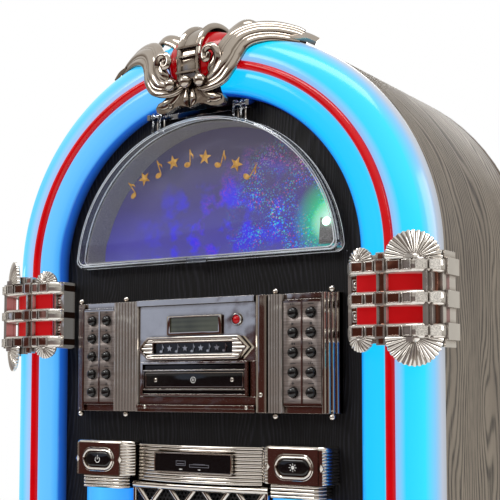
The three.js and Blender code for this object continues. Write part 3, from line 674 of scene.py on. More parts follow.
def dome(radius, sill, corner=0.0, steps=72):
    """The window's outline: the arch cut off along a level sill, with round lower corners."""
    height = sill + corner
    start = math.degrees(math.asin(height / (radius * RISE)))
    points = arc(0, 0, radius, radius * RISE, start, 180 - start, steps)
    if corner:
        edge = points[0][0] - corner
        points = arc(edge, height, corner, corner, -90, 0, 6)[:-1] + points
        points += arc(-edge, height, corner, corner, 180, 270, 6)[1:]
    return points


def pill(cx, cz, half, rise, steps=12):
    straight = half - rise
    return (arc(cx + straight, cz, rise, rise, -90, 90, steps)
            + arc(cx - straight, cz, rise, rise, 90, 270, steps))


def circle(cx, cz, radius, steps=28):
    return arc(cx, cz, radius, radius, 0, 360, steps)[:-1]


def rectangle_from(x0, x1, z0, z1):
    return [(x0, z0), (x1, z0), (x1, z1), (x0, z1)]


def rectangle(half, z0, z1):
    return rectangle_from(-half, half, z0, z1)


def rectangle_at(x, wide, z, tall):
    return rectangle_from(x - wide / 2, x + wide / 2, z - tall / 2, z + tall / 2)


def ribs(start, end, count, depth, base=0.0, steps=6):
    """Half-round ribs side by side from start to end, as (place, -depth) points."""
    width = (end - start) / count
    points = []
    for i in range(count):
        points += [(start + width * (i + 0.5 - 0.5 * math.cos(math.pi * k / steps)),
                    base - depth * math.sin(math.pi * k / steps)) for k in range(steps)]
    return [*points, (end, base)]


# ---------------------------------------------------------------- cabinet
def build_cabinet():
    inner = HALF_WIDTH - SHELL_THICK
    edge = 1.5
    section = [
        (inner, SHELL_FRONT + 0.5), (inner, SHELL_FRONT), (HALF_WIDTH - edge, SHELL_FRONT),
        (HALF_WIDTH - 0.4, SHELL_FRONT + 0.4), (HALF_WIDTH, SHELL_FRONT + edge),
        (HALF_WIDTH, SHELL_BACK - edge), (HALF_WIDTH - 0.4, SHELL_BACK - 0.4),
        (HALF_WIDTH - edge, SHELL_BACK), (inner, SHELL_BACK),
    ]
    shape = Shape().loft(arch_rings(section, TUBE_FOOT, 0, 180, 144))
    shape.block(-inner, inner, SHELL_FRONT, SHELL_BACK, TUBE_FOOT, TUBE_FOOT + SHELL_THICK)
    shape.make("cabinet_wrap", SIDE_WOOD, hides=["cabinet_shell"], slot="side_wood")
    finish_node("front_panel", BLACK_WOOD)
    finish_node("back_panel", BROWN_BOARD, 0.8)
    finish_node("base_plinth", BLACK_WOOD, 2.0)


def build_back_screws():
    back_y = span("back_panel")[3]
    screws = Shape()
    for x in (-262, -130, 0, 130, 262):
        screw(screws, (x, back_y, FLOOR + 80), 4.2, 1)
    for turn in (0, 30, 60, 90, 120, 150, 180):
        angle = math.radians(turn)
        screw(screws, (270 * math.cos(angle), back_y, 270 * RISE * math.sin(angle)), 4.2, 1)
    screws.make("back_screws", STEEL, slot="steel")


def screw(shape, centre, radius, facing=-1, finish=0):
    """A pan-head screw with a cross recess, its head facing -Y or +Y."""
    x, y, z = centre
    profile = [(1e-4, 0.55 * radius), (radius * 0.55, 0.5 * radius), (radius * 0.9, 0.28 * radius),
               (radius, 0.0), (1e-4, -0.05)]
    shape.lathe(centre, profile, (0, facing, 0), 20, finish)
    for wide, tall in ((0.62, 0.16), (0.16, 0.62)):
        near, far = sorted((y + facing * radius * 0.45, y + facing * radius * 0.58))
        shape.block(x - wide * radius, x + wide * radius, near, far, z - tall * radius, z + tall * radius,
                    finish)


# ---------------------------------------------------------------- lit tubes, beads and bands
def tube_skin(inset):
    lobe = [(209, PANEL_FACE - 0.4), (209, 19), (209, 14)]
    lobe += [(209.5 + 13.5 * (1 - math.cos(a)), 14 - 10.4 * math.sin(a))
             for a in (math.pi / 2 * i / 8 for i in range(1, 9))]
    lobe += [(229, 3.0), (235, 3.2), (238.2, 4.4), (239.5, 6.3), (250.5, 6.3), (251.8, 4.4), (254.5, 3.1)]
    lobe += arc(252, 41, SHOULDER, SHOULDER, -84, 0, 16)
    lobe.append((HALF_WIDTH, SHELL_FRONT - 0.4))
    middle = 250
    return [(x + inset * (1 if x < 212 else -1 if x > 285 else 0.15 * (middle - x) / 40),
             y + inset * (0 if x < 210 or y > 38 else 1)) for x, y in lobe]


def build_tubes():
    outer, inner = tube_skin(0), tube_skin(3)
    lengths = [0.0]
    for (xa, ya), (xb, yb) in zip(outer, outer[1:]):
        lengths.append(lengths[-1] + math.hypot(xb - xa, yb - ya))
    across = [length / lengths[-1] for length in lengths]
    section = outer + inner[::-1]
    for name, side in SIDES:
        rings = arch_rings(section, TUBE_FOOT, 0, TUBE_TOP_ANGLE, 64)
        shape = Shape().loft(rings, across=across + across[::-1]).to_side(side)
        shape.make(f"glow_tube_{name}", TUBE_LIGHT[name], hides=[f"tube_{name}"], slot="lit_tube")
        round_bead = [(BEAD_CENTRE - BEAD_RADIUS, 5.9),
                      *arc(BEAD_CENTRE, 5.2, BEAD_RADIUS, 5.2, -180, 0, 16),
                      (BEAD_CENTRE + BEAD_RADIUS, 5.9)]
        bead_end = TUBE_TOP_ANGLE - 2
        bead = Shape().loft(arch_rings(round_bead, TUBE_FOOT, 0, bead_end, 64))
        turn = math.radians(bead_end)
        bead.ball((BEAD_CENTRE * math.cos(turn), 5.2, BEAD_CENTRE * RISE * math.sin(turn)),
                  BEAD_RADIUS - 0.1)
        bead.to_side(side)
        bead.make(f"red_bead_{name}", RED_BEAD, hides=[f"bead_{name}"], slot="red_plastic")


def around_tube(out, inner_x, back_y, steps=14):
    return [(inner_x, -out), (251, -out), *arc(252, 41, SHOULDER + out, SHOULDER + out, -78, 0, steps),
            (HALF_WIDTH + out, back_y)]


BAR_FACE = [(198, BAND_BACK), (198, 4), (200, -1), (205, -8), (210, -11), (216, -12), (268, -12),
            (280, -11.4), (287, -8), (296, 3), (301, 12), (302, 17), (302, 52)]


def grown(line, distance):
    """An open outline moved sideways, to its left as it runs, by a distance that may be negative."""
    moved = []
    for i, (x, y) in enumerate(line):
        (xa, ya), (xb, yb) = line[max(i - 1, 0)], line[min(i + 1, len(line) - 1)]
        length = math.hypot(xb - xa, yb - ya)
        moved.append((x + (yb - ya) / length * distance, y - (xb - xa) / length * distance))
    return moved


def fan(shape, centre, turn, radius, up, flutes=17, finish=0):
    """A scallop shell: fluted half disc that stands on a bar and faces outwards at an angle."""
    normal = Vector((math.sin(math.radians(turn)), -math.cos(math.radians(turn)), 0))
    level = Vector((math.cos(math.radians(turn)), math.sin(math.radians(turn)), 0))
    spokes, rows = flutes * 6, 8
    rings = []
    for row in range(rows + 1):
        share = row / rows
        ring = []
        for k in range(spokes + 1):
            angle = math.pi * k / spokes
            wave = abs(math.sin(flutes * angle))
            reach = radius * share * (0.955 + 0.045 * wave)
            lift = 5.0 * math.cos(share * math.pi / 2) ** 0.8 + 2.2 * wave * share * (1.15 - share * 0.5)
            ring.append(Vector(centre) + level * reach * math.cos(angle)
                        + Vector((0, 0, up)) * reach * math.sin(angle) + normal * lift)
        rings.append(ring)
    points = [p for ring in rings for p in ring]
    width = spokes + 1
    faces = []
    for row in range(rows):
        faces += [(row * width + k, row * width + k + 1, (row + 1) * width + k + 1, (row + 1) * width + k)
                  for k in range(spokes)]
    back = len(points)
    for k in range(width):
        points.append(rings[-1][k] - normal * 3.0)
    faces += [(rows * width + k, rows * width + k + 1, back + k + 1, back + k) for k in range(spokes)]
    faces.append(tuple(back + k for k in range(width)))
    base = [row * width for row in range(rows + 1)] + [back]
    end = [row * width + spokes for row in range(rows + 1)] + [back + spokes]
    faces.append(tuple(base[1:] + end[:0:-1]))
    shape.add(points, faces, finish)
    shape.ball(Vector(centre) + normal * 4, radius * 0.2, 0.8, finish)


def band_bar(shape, top):
    """One of the three bars that wrap round the tube, with its framed pads."""
    inner_wrap = around_tube(3.8, 208.3, 52)[::-1] + [(208.3, BAND_BACK)]
    low = top - BAND_HEIGHT
    rings = []
    for inset, z in ((4.2, low), (1.9, low + 0.8), (0.6, low + 2.2), (0, low + 4.2), (0, top - 4.2),
                     (0.6, top - 2.2), (1.9, top - 0.8), (4.2, top)):
        rings.append(level_ring(grown(BAR_FACE, -inset) + inner_wrap, z))
    shape.loft(rings)
    # Pad centres take finish 1, a painted dark reflection; the last pad, on the curve, keeps finish 0.
    for x0, x1, tone in ((210.5, 223.5, 1), (226.5, 235.5, 1), (251, 265, 1), (268, 277, 0)):
        shape.holed([rectangle_from(x0 - 0.4, x1 + 0.4, low + 2.6, top - 2.6),
                     rectangle_from(x0 + 0.8, x1 - 0.8, low + 3.8, top - 3.8)], -13.9, -11, 0.4)
        shape.block(x0 + 0.8, x1 - 0.8, -12.7, -11, low + 3.8, top - 3.8, tone)
    # The middle post: finish 1 paints a dark reflection in its centre.
    shape.block(237.5, 248.5, -14.2, -11, low + 1, top - 1)
    shape.block(239.5, 246.5, -14.8, -11, low + 3, top - 3, 1)
    # Strips round the corner: finish 2 paints a pale reflection, finish 1 a dark one.
    for outline, below, above, tone in (
        ([(281.5, -11.6), (285.0, -12.4), (292, -4.6), (290, -2.5)], 3.4, 3.4, 2),
        ([(283.6, -11.9), (284.8, -12.2), (289.6, -6.9), (288.4, -6)], 6, 5, 1),
        ([(293, -3.2), (295, -4.6), (302, 6.0), (299.5, 8)], 3, 3, 2),
    ):
        shape.column(outline, low + below, top - above, tone)
    shape.block(299.6, 304, 19, 49, low - 0.6, top + 0.6)


def band_posts(shape):
    """The posts behind the bars, and a framed screw in each gap."""
    low, high = BAND_BOTTOM + 1, BAND_TOP - 1
    # Finish 1 paints a dark reflection in the middle of some posts.
    for x0, x1, y0, y1, tone in (
        (237.5, 240, -9.8, -3.8, 0), (246, 248.5, -9.8, -3.8, 0), (240, 246, -7.6, -3.8, 1),
        (286.5, 291, -5, 5, 0), (291, 294.5, 0, 12, 0), (294.5, 297, 8, 16, 1),
        (296, 300.5, 14, 22, 0), (296, 301, 30, 46, 0),
        (198, 202, 4, BAND_BACK, 0), (202, 211, 6, 9, 1), (209, 213.8, 1.5, 5.5, 0),
    ):
        shape.block(x0, x1, y0, y1, low, high, tone)
    for i in range(2):
        middle = BAND_TOP - BAND_HEIGHT - (BAND_PITCH - BAND_HEIGHT) / 2 - i * BAND_PITCH
        screw(shape, (206.5, 5.8, middle), 3.6)
        shape.holed([rectangle_from(202.6, 209.4, middle - 6, middle + 6),
                     rectangle_from(203.8, 208.6, middle - 4.6, middle + 4.6)], 4.4, 6.2, 0.3)


def band_ends(shape):
    """The shell fans and stub posts above and below the bars."""
    for z, up in ((BAND_TOP - 2, 1), (BAND_BOTTOM + 2, -1)):
        fan(shape, (276, -3, z), 36, 30, up)
        fan(shape, (218, -6, z), -10, 15, up, 11)
        for x0, x1, y0, y1, rise in (
            (250, 258, -10.5, -4, 9), (237.5, 248.5, -11, -3.8, 8), (290, 301, 18, 46, 10),
            (228, 237, -8, -4, 6), (266, 279, -12.6, -6, 5),
        ):
            shape.block(x0, x1, y0, y1, min(z, z + up * rise), max(z, z + up * rise))
        # Finish 1 paints a dark reflection on the middle stub.
        shape.block(240.5, 245.5, -11.6, -8, min(z, z + up * 6.5), max(z, z + up * 6.5), 1)


def build_bands():
    for name, side in SIDES:
        shape = Shape()
        for i in range(3):
            band_bar(shape, BAND_TOP - i * BAND_PITCH)
        band_posts(shape)
        band_ends(shape)
        # The bands are chrome throughout; their finishes 1 and 2 are painted dark and pale reflections.
        shape.to_side(side).make(f"chrome_band_{name}", [CHROME_PAINTED_LIT, CHROME_PAINTED_DARK_REFLECTION, PAINTED_PALE_REFLECTION],
                                 hides=[f"band_{name}"], slot="chrome", bevel=0.7)
        ring = around_tube(0.5, 212, 44) + around_tube(3.4, 212, 44)[::-1]
        low = BAND_TOP - 2 * BAND_PITCH - 5
        high = BAND_TOP - BAND_HEIGHT + 5
        panel = Shape().column(ring, low, high).to_side(side)
        panel.make(f"red_panel_{name}", RED_PANEL, hides=[f"band_insert_{name}"], slot="red_plastic")


# ---------------------------------------------------------------- crown
def fluted(wide, tall, flutes=4, depth=0.14, steps=48):
    """A flat oval section whose upper side carries lengthwise flutes."""
    ring = []
    for i in range(steps):
        angle = 2 * math.pi * i / steps
        swell = 1 + depth * math.cos(2 * flutes * angle)
        ring.append((wide * math.cos(angle) * (1 + 0.3 * (swell - 1)), tall * math.sin(angle) * swell))
    return ring


def blend(stops, t):
    """Straight-line interpolation in a list of (t, value, value ...) rows."""
    for (t0, *low), (t1, *high) in zip(stops, stops[1:]):
        if t <= t1:
            share = (t - t0) / (t1 - t0)
            return [a + (b - a) * share for a, b in zip(low, high)]
    return list(stops[-1][1:])


def crown_strap(shape):
    """The middle strap: two rails and a recessed panel, from the balls up and back over the top."""
    path = smooth_path([(0, -7, 213), (0, -8, 226), (0, -8, 242), (0, -5, 256), (0, 3, 269), (0, 17, 279),
                        (0, 34, 284), (0, 52, 282), (0, 67, 272)], 7)
    rail = [(-16, -2), (-16, 2.0), (-15, 3.8), (-13, 4.6), (-11, 3.8), (-9.6, 1.4), (-8.8, 0.2), (8.8, 0.2),
            (9.6, 1.4), (11, 3.8), (13, 4.6), (15, 3.8), (16, 2.0), (16, -2), (9, -4), (-9, -4)]
    shape.rope(path, lambda t: rail, up=(0, -0.7, 0.7))


def crown_arm(half):
    """One flat fluted arm with three raised strands along it."""
    outward = (0.35, -0.8, 0.5)
    arm = smooth_path([(10, 0, 208), (22, -4, 205), (37, -7, 210), (47, -6, 223), (53, 0, 239),
                       (61, 6, 251), (75, 13, 258), (95, 22, 259.5), (114, 31, 256), (131, 39, 250)], 8)
    widths = [(0, 6, 5), (0.1, 10, 7), (0.26, 15, 8), (0.45, 15.5, 8), (0.72, 14.5, 7), (0.92, 12, 5),
              (1, 8, 3.5)]

    def arm_section(t):
        wide, tall = blend(widths, t)
        return fluted(wide, tall, 3, 0.2, 60)
    half.rope(arm, arm_section, up=outward)
    for share, thick in ((-0.72, 0.4), (0.02, 0.46), (0.74, 0.4)):
        strand = []
        for i, point in enumerate(arm[2:-3]):
            wide, tall = blend(widths, (i + 2) / (len(arm) - 1))
            ahead, behind = arm[i + 3], arm[i + 1]
            side = (ahead - behind).normalized().cross(Vector(outward)).normalized()
            over = side.cross((ahead - behind).normalized())
            strand.append(point + side * wide * share + over * tall * (0.72 - 0.35 * abs(share)))
        half.rope(strand, lambda t: fluted(13 * thick * (0.75 + 0.5 * math.sin(math.pi * t)),
                                           9 * thick * (0.75 + 0.4 * math.sin(math.pi * t)), 1, 0, 20),
                  up=outward)


def crown_curl(half):
    """The scroll beside the strap, its balls, and the tail that ends the arm."""
    curl = smooth_path([(34, -10, 212), (41, -12, 223), (43, -13, 235), (38, -14, 244), (30, -14, 245),
                        (25, -14, 239), (26, -15, 232), (31, -16, 231), (33, -16, 236)], 6)
    half.rope(curl, lambda t: fluted(5.2 - 2.0 * t, 4.6 - 1.6 * t, 2, 0.1, 24), up=(0, -1, 0))
    half.ball((32, -15, 236), 3.4)
    half.ball((21, -16, 208), 7.6)
    tail = smooth_path([(116, 30, 256), (126, 33, 254), (134, 36, 251), (143, 40, 246)], 5)
    flat = [(-9, -2.4), (9, -2.4), (9, 2.4), (-9, 2.4)]
    half.rope(tail, lambda t: [(x * (1 - 0.3 * t), y) for x, y in flat], up=(0.35, -0.5, 0.8))


def crown_foot(half):
    """The splayed foot over the window, with its screw and two creases."""
    foot = [(-1, 214), (16, 213), (18, 205), (25, 197), (36, 194), (45, 191), (48.5, 186), (47, 180.5),
            (40, 178.5), (30, 179.5), (20, 183.5), (12, 185), (-1, 181)]
    half.plate(foot, -6.5, 0.6)
    screw(half, (27, -7.2, 186.5), 3.4)
    for points, thick in (([(3, 183.5), (5, 191), (4, 202)], 2.8),
                          ([(44, 187), (34, 189), (20, 198), (12, 207)], 4.0)):
        crease = smooth_path([(x, -6.6 - 0.9 * (i == 1), z) for i, (x, z) in enumerate(points)], 6)
        half.rope(crease, lambda t: fluted(thick * (0.6 + 0.9 * math.sin(math.pi * t)), 1.5, 1, 0, 20),
                  up=(0, -1, 0))


def build_crown():
    half = Shape()
    crown_arm(half)
    crown_curl(half)
    crown_foot(half)
    lobe = smooth_path([(20, 22, 250), (36, 24, 268), (55, 24, 277), (70, 28, 272)], 6)
    half.rope(lobe, lambda t: fluted(11 - 4 * t, 4, 1, 0.0, 24), up=(0, -0.8, 0.6))
    half.mirrored()
    crown_strap(half)
    half.ball((0, -15, 209), 7.6)
    for z, y in ((222, -12.2), (240, -12.6), (251, -12)):
        half.block(-16, 16, y, y + 4, z - 1.1, z + 1.1)
    half.make("crown_scrolls", CHROME_CAST, hides=["crown_casting"], slot="chrome", bevel=0.7, sharp=50)


def build_crown_gem():
    gem = Shape()
    spine = smooth_path([(0, 5, 212), (0, 4, 224), (0, 5, 238), (0, 11, 252), (0, 24, 263),
                         (0, 44, 266)], 6)
    sizes = [(0, 22, 9), (0.2, 33, 12), (0.5, 38, 13), (0.8, 40, 13), (1, 36, 10)]

    def gem_section(t):
        wide, tall = blend(sizes, t)
        return arc(0, 0, wide, tall, 0, 360, 40)[:-1]
    gem.rope(spine, gem_section, up=(0, -1, 0.2))
    gem.make("crown_gem", RED_GEM, hides=["crown_insert"], slot="red_plastic", sharp=60)


# ---------------------------------------------------------------- window and door
def star(radius):
    return [((radius if i % 2 == 0 else radius * 0.42) * math.sin(math.pi * i / 5),
             (radius if i % 2 == 0 else radius * 0.42) * math.cos(math.pi * i / 5)) for i in range(10)]


def note(radius):
    """A quaver: oval head, stem and flag, as separate outlines."""
    head = arc(-0.22 * radius, -0.68 * radius, 0.42 * radius, 0.3 * radius, 0, 360, 16)[:-1]
    stem = [(0.1 * radius, -0.7 * radius), (0.22 * radius, -0.7 * radius), (0.22 * radius, radius),
            (0.1 * radius, radius)]
    flag = [(0.2 * radius, radius), (0.34 * radius, 0.6 * radius), (0.62 * radius, 0.32 * radius),
            (0.56 * radius, -0.1 * radius), (0.46 * radius, 0.2 * radius), (0.2 * radius, 0.5 * radius)]
    return [head, stem, flag]


def placed(outline, x, z, turn=0.0):
    cos, sin = math.cos(math.radians(turn)), math.sin(math.radians(turn))
    return [(x + a * cos - b * sin, z + a * sin + b * cos) for a, b in outline]


def build_window():
    finish_node("window_tray", RECESS_GREY_PAINTED_LIT, 0.6)
    finish_node("window_film", FILM)
    finish_node("hinge_bracket", STEEL, 0.4)


def build_window_liner():
    """The pale skin of the recess wall, pale partly through a painted glow."""
    liner = Shape()
    rings = []
    for reach, y in ((179.8, PANEL_FACE - 0.2), (179.8, PANEL_FACE + 12.2), (178.6, PANEL_FACE + 12.2),
                     (178.6, PANEL_FACE + 0.4)):
        rings.append(upright_ring(dome(reach, 190 - reach, 1.5), y))
    liner.loft(rings, closed=True)
    liner.make("window_liner", RECESS_GREY_PAINTED_LIT, slot="grey_plastic")


def build_lamp():
    x0, x1, y0, y1, z0, z1 = span("window_lamp")
    lamp = Shape()
    lamp.block(x0, x1, y0 + 5, y1, z0, z1)
    lamp.block(x0 + 2, x1 - 2, y0 + 3, y0 + 5.5, z0 + 2, z1 - 12)
    screw(lamp, (x0 + 5.5, y0 + 3.2, z0 + 6), 1.8)
    screw(lamp, (x1 - 5.5, y0 + 3.2, z0 + 6), 1.8)
    lens = [(1e-4, 3.4), (2.6, 3.0), (4.4, 1.6), (5, 0), (1e-4, -1)]
    lamp.lathe(((x0 + x1) / 2 - 2, y0 + 3, z1 - 5), lens, (0, -1, 0), 24, 1)
    lamp.make("display_lamp", [RECESS_GREY_PAINTED_LIT, GREEN_LENS], hides=["window_lamp"], slot="grey_plastic",
              bevel=0.5)


def build_door():
    back = PANEL_FACE - 0.4
    outside = [(0, back), (0, DOOR_FACE + 2.2), (0.6, DOOR_FACE + 0.8), (1.8, DOOR_FACE), (2.6, DOOR_FACE)]
    inside = [(DOOR_WALL, back), (DOOR_WALL, DOOR_FACE + DOOR_WALL + 0.4),
              (DOOR_WALL + 0.6, DOOR_FACE + DOOR_WALL)]
    rings = []
    for inset, y in inside[::-1] + outside:
        outline = dome(DOOR_RADIUS - inset, DOOR_SILL + inset, DOOR_CORNER)
        rings.append(upright_ring(outline, y))
    door = Shape().loft(rings)
    for side in (-1, 1):
        for x in (side * 52.5, side * 62.5):
            outline = [*arc(HINGE_Y, HINGE_Z, 4.4, 4.4, -20, 200, 14),
                       (HINGE_Y - 4.2, HINGE_Z - 20), (HINGE_Y + 4.4, HINGE_Z - 20)]
            door.bar(outline, x - 1.6, x + 1.6)
    door.block(-14, 14, DOOR_FACE - 2, DOOR_FACE + 1, DOOR_SILL - 3, DOOR_SILL + 4)
    door.make("clear_door", CLEAR, "door", ["window_door"], "clear_plastic", sharp=30)


def build_motif():
    motif = Shape()
    ring, centre, count = 141.0, -8.0, 9
    for i in range(count):
        angle = -38.5 + 74.0 * i / (count - 1)
        x = centre + ring * math.sin(math.radians(angle))
        z = ring * RISE * math.cos(math.radians(angle)) - 8
        outlines = [star(9.0)] if i % 2 else note(10.6)
        for outline in outlines:
            motif.plate(placed(outline, x, z, -angle), DOOR_FACE - 0.35, DOOR_FACE + 0.05)
    motif.make("gold_motif", GOLD, "door", slot="clear_plastic")


def build_door_edge():
    # Thin rings along the door's edges that carry only the painted gleam.
    gleam_rings = Shape()
    for reach, y in ((0.2, PANEL_FACE - 1.3), (-1.4, DOOR_FACE + 0.2), (-3.6, DOOR_FACE - 0.3)):
        outer = dome(DOOR_RADIUS + reach, DOOR_SILL - reach, DOOR_CORNER)
        inner = dome(DOOR_RADIUS + reach - 0.9, DOOR_SILL - reach + 0.9, DOOR_CORNER - 0.5)
        gleam_rings.holed([outer, inner], y, y + 0.8, 0.1)
    gleam_rings.make("door_painted_gleam", PAINTED_EDGE_GLEAM, "door", slot="clear_plastic")


# ---------------------------------------------------------------- console
def ribbed_column(shape, x0, x1, count, front, back, z0, z1, depth=1.9, finish=1):
    shape.column([(x0, back), *ribs(x0, x1, count, depth, front), (x1, back)], z0, z1, finish)


def finial(shape, x, y, z, up):
    profile = [(1e-4, -2), (3.2, -2), (3.4, -0.6), (2.0, 0.2), (1.6, 1.4), (2.6, 2.2), (3.8, 4.2),
               (4.0, 5.6), (3.2, 7.6), (1.8, 8.7), (1e-4, 9.0)]
    shape.lathe((x, y, z), profile, (0, 0, up), 24)


def build_console():
    bottom, top = CONSOLE_BOTTOM, CONSOLE_TOP
    shape = Shape()
    for x0, x1, y0, y1, z0, z1 in (
        (-CONSOLE_HALF, CONSOLE_HALF, 9, CONSOLE_BACK, top - 8.5, top),
        (-CONSOLE_HALF, CONSOLE_HALF, 9, CONSOLE_BACK, bottom, bottom + 9),
        (-BAY_HALF, BAY_HALF, 6, CONSOLE_BACK, DRIVE_TOP, top - 7),
        (-BAY_HALF, BAY_HALF, 6, CONSOLE_BACK, bottom + 7, DRIVE_BOTTOM),
        (-BAY_HALF, -75, 6, CONSOLE_BACK, DRIVE_BOTTOM, DRIVE_TOP),
        (75, BAY_HALF, 6, CONSOLE_BACK, DRIVE_BOTTOM, DRIVE_TOP),
        (-118, -BAY_HALF, 10, CONSOLE_BACK, bottom, top), (BAY_HALF, 118, 10, CONSOLE_BACK, bottom, top),
        (-WING_END, -WING_START, 14, CONSOLE_BACK, bottom, top),
        (WING_START, WING_END, 14, CONSOLE_BACK, bottom, top),
        (-166, 166, 21.5, CONSOLE_BACK, bottom + 8, -152), (-166, -75, 21.5, CONSOLE_BACK, -152, top - 8),
        (75, 166, 21.5, CONSOLE_BACK, -152, top - 8),
    ):
        shape.block(x0, x1, y0, y1, z0, z1)
    shape.block(-BAY_HALF, BAY_HALF, 2.4, 9, top - 6.5, top)
    shape.block(-BAY_HALF, BAY_HALF, 3.4, 9, bottom, bottom + 4)
    shape.block(-BAY_HALF, BAY_HALF, 2.4, 9, bottom + 4, bottom + 8)
    ribbed_column(shape, -117, -81, 8, 4.2, 22, bottom + 0.5, top - 0.5)
    ribbed_column(shape, 100, 117, 5, 3.6, 22, bottom + 0.5, top - 0.5)
    post = [(80.5, 20), *arc(90, 12, 9.5, 12, 180, 360, 24), (99.5, 20)]
    shape.column(post, bottom + 0.5, top - 0.5)
    screw(shape, (92, 0.3, bottom + 20), 2.6)
    for side in (-1, 1):
        slope = []
        for k in range(25):
            flute = 1.4 * abs(math.sin(math.pi * k / 6))
            slope.append((side * (166 + 16 * (k / 24)), 5 + 10 * (k / 24) ** 1.3 - flute))
        outline = [(side * WING_START, 22), (side * WING_START, 5), *slope, (side * WING_END, 22)]
        shape.column(outline, bottom + 0.5, top - 0.5)
        for x in (104.6, 174.8):
            finial(shape, side * x, 12, top - 2, 1)
            finial(shape, side * x, 12, bottom + 2, -1)
        shape.block(side * 141.5 - 24, side * 141.5 + 24, 6, 10, top - 8, top - 6.6)
        shape.block(side * 141.5 - 24, side * 141.5 + 24, 6, 10, bottom + 7.6, bottom + 9)
    screw(shape, (-69, 2.2, bottom + 5.6), 2.2)
    screw(shape, (72, 2.2, bottom + 5.6), 2.2)
    # Finish 1, on the fluted columns, is the chrome with a painted glow.
    shape.make("console_frame", [CHROME, CHROME_PAINTED_LIT], hides=["console_bezel"], slot="chrome", bevel=0.5)


KEY_COLUMNS, KEY_TOP, KEY_PITCH, KEY_BORE = (130, 152.4), -59.8, 21.5, 6.1
KEY_PLACES = [(x, KEY_TOP - KEY_PITCH * row) for x in KEY_COLUMNS for row in range(5)]
MARKS = {
    "play": [[(-1.6, -1.6), (1.8, 0), (-1.6, 1.6)]],
    "stop": [rectangle(1.4, -1.4, 1.4)],
    "back": [[(0, -1.5), (0, 1.5), (-2.6, 0)], [(2.8, -1.5), (2.8, 1.5), (0.2, 0)]],
    "next": [[(0, -1.5), (2.6, 0), (0, 1.5)], [(-2.8, -1.5), (-0.2, 0), (-2.8, 1.5)]],
    "bars": [rectangle_from(-3, -2, -1, 1), rectangle_from(-1, 0, -1, 1.4), rectangle_from(1, 2, -1, 0.6)],
    "dash": [rectangle(3.4, -0.5, 0.5)],
    "plus": [rectangle(1.8, -0.4, 0.4), rectangle(0.4, -1.8, 1.8)],
}
MARK_ROWS = ["bars", "play", "back", "dash", "plus", "dash", "stop", "next", "bars", "dash"]


def build_keypads():
    x0, x1, y0, y1, z0, z1 = PLATE_BOX
    for name, side in SIDES:
        plate = Shape()
        bores = [circle(x, z, KEY_BORE) for x, z in KEY_PLACES]
        plate.holed([rectangle_from(x0, x1, z0, z1), *bores], y0, y1, 0.35)
        middle = sum(KEY_COLUMNS) / 2
        plate.block(middle - 0.9, middle + 0.9, y0 - 0.7, y0 + 0.5, z0 + 1, z1 - 1, 1)
        for low, high in ((z0, z0 + 1.4), (z1 - 1.4, z1)):
            plate.block(x0 + 0.5, x1 - 0.5, y0 - 0.6, y0 + 0.5, low, high, 1)
        plate.to_side(side).make(f"key_plate_{name}", [SATIN, CHROME], hides=[f"keypad_plate_{name}"],
                                 slot="brushed_plate")
        marks = Shape()
        for (x, z), mark in zip(KEY_PLACES, MARK_ROWS):
            for outline in MARKS[mark]:
                marks.plate(placed(outline, side * x, z + 9.4), y0 - 0.12, y0 + 0.1)
        marks.make(f"key_marks_{name}", DARK_INK, slot="brushed_plate")
        for i, (x, z) in enumerate(KEY_PLACES):
            key = Shape()
            profile = [(1e-4, 5.2), (2.2, 5.05), (3.8, 4.5), (4.9, 3.6), (5.45, 2.5), (5.6, 1.2),
                       (5.6, -4.2), (1e-4, -4.2)]
            key.lathe((side * x, y0, z), profile, (0, -1, 0), 32)
            node = f"key_{name}_{i + 1}"
            key.make(f"push_{node}", GLOSS_BLACK, node, [node], "black_plastic")


def build_display():
    x0, x1, y0, _, z0, z1 = span("lcd_display")
    lcd = Shape()
    outer = rectangle_from(x0, x1, z0, z1)
    inner = rectangle_from(x0 + 4.4, x1 - 4.4, z0 + 3, z1 - 1.6)
    lcd.holed([outer, inner], y0 - 0.4, 6, 0.4)
    lcd.block(x0 + 4, x1 - 4, 4.4, 8, z0 + 2.6, z1 - 1.2, 1)
    lcd.make("lcd_panel", [CHROME, LCD_GLASS], hides=["lcd_display"], slot="display")


def build_sensor():
    lens = Shape()
    centre = SENSOR_PLACE
    ring = [(5.6, -1), (6.6, -1), (6.8, 0.8), (6.2, 1.7), (5.4, 1.7), (4.9, 0.9)]
    turn = arc(0, 0, 1, 1, 0, 360, 32)[:-1]
    rings = [[(centre[0] + r * c, centre[1] - h, centre[2] + r * s) for r, h in ring] for c, s in turn]
    lens.loft(rings, 1, closed=True)
    lens.lathe(centre, [(1e-4, 3.5), (2.2, 3.1), (3.9, 2.0), (4.9, 0.2), (4.9, -6), (1e-4, -6)],
               (0, -1, 0), 32)
    lens.make("remote_sensor", [RED_GEM, CHROME], hides=["sensor_lens"], slot="red_plastic")


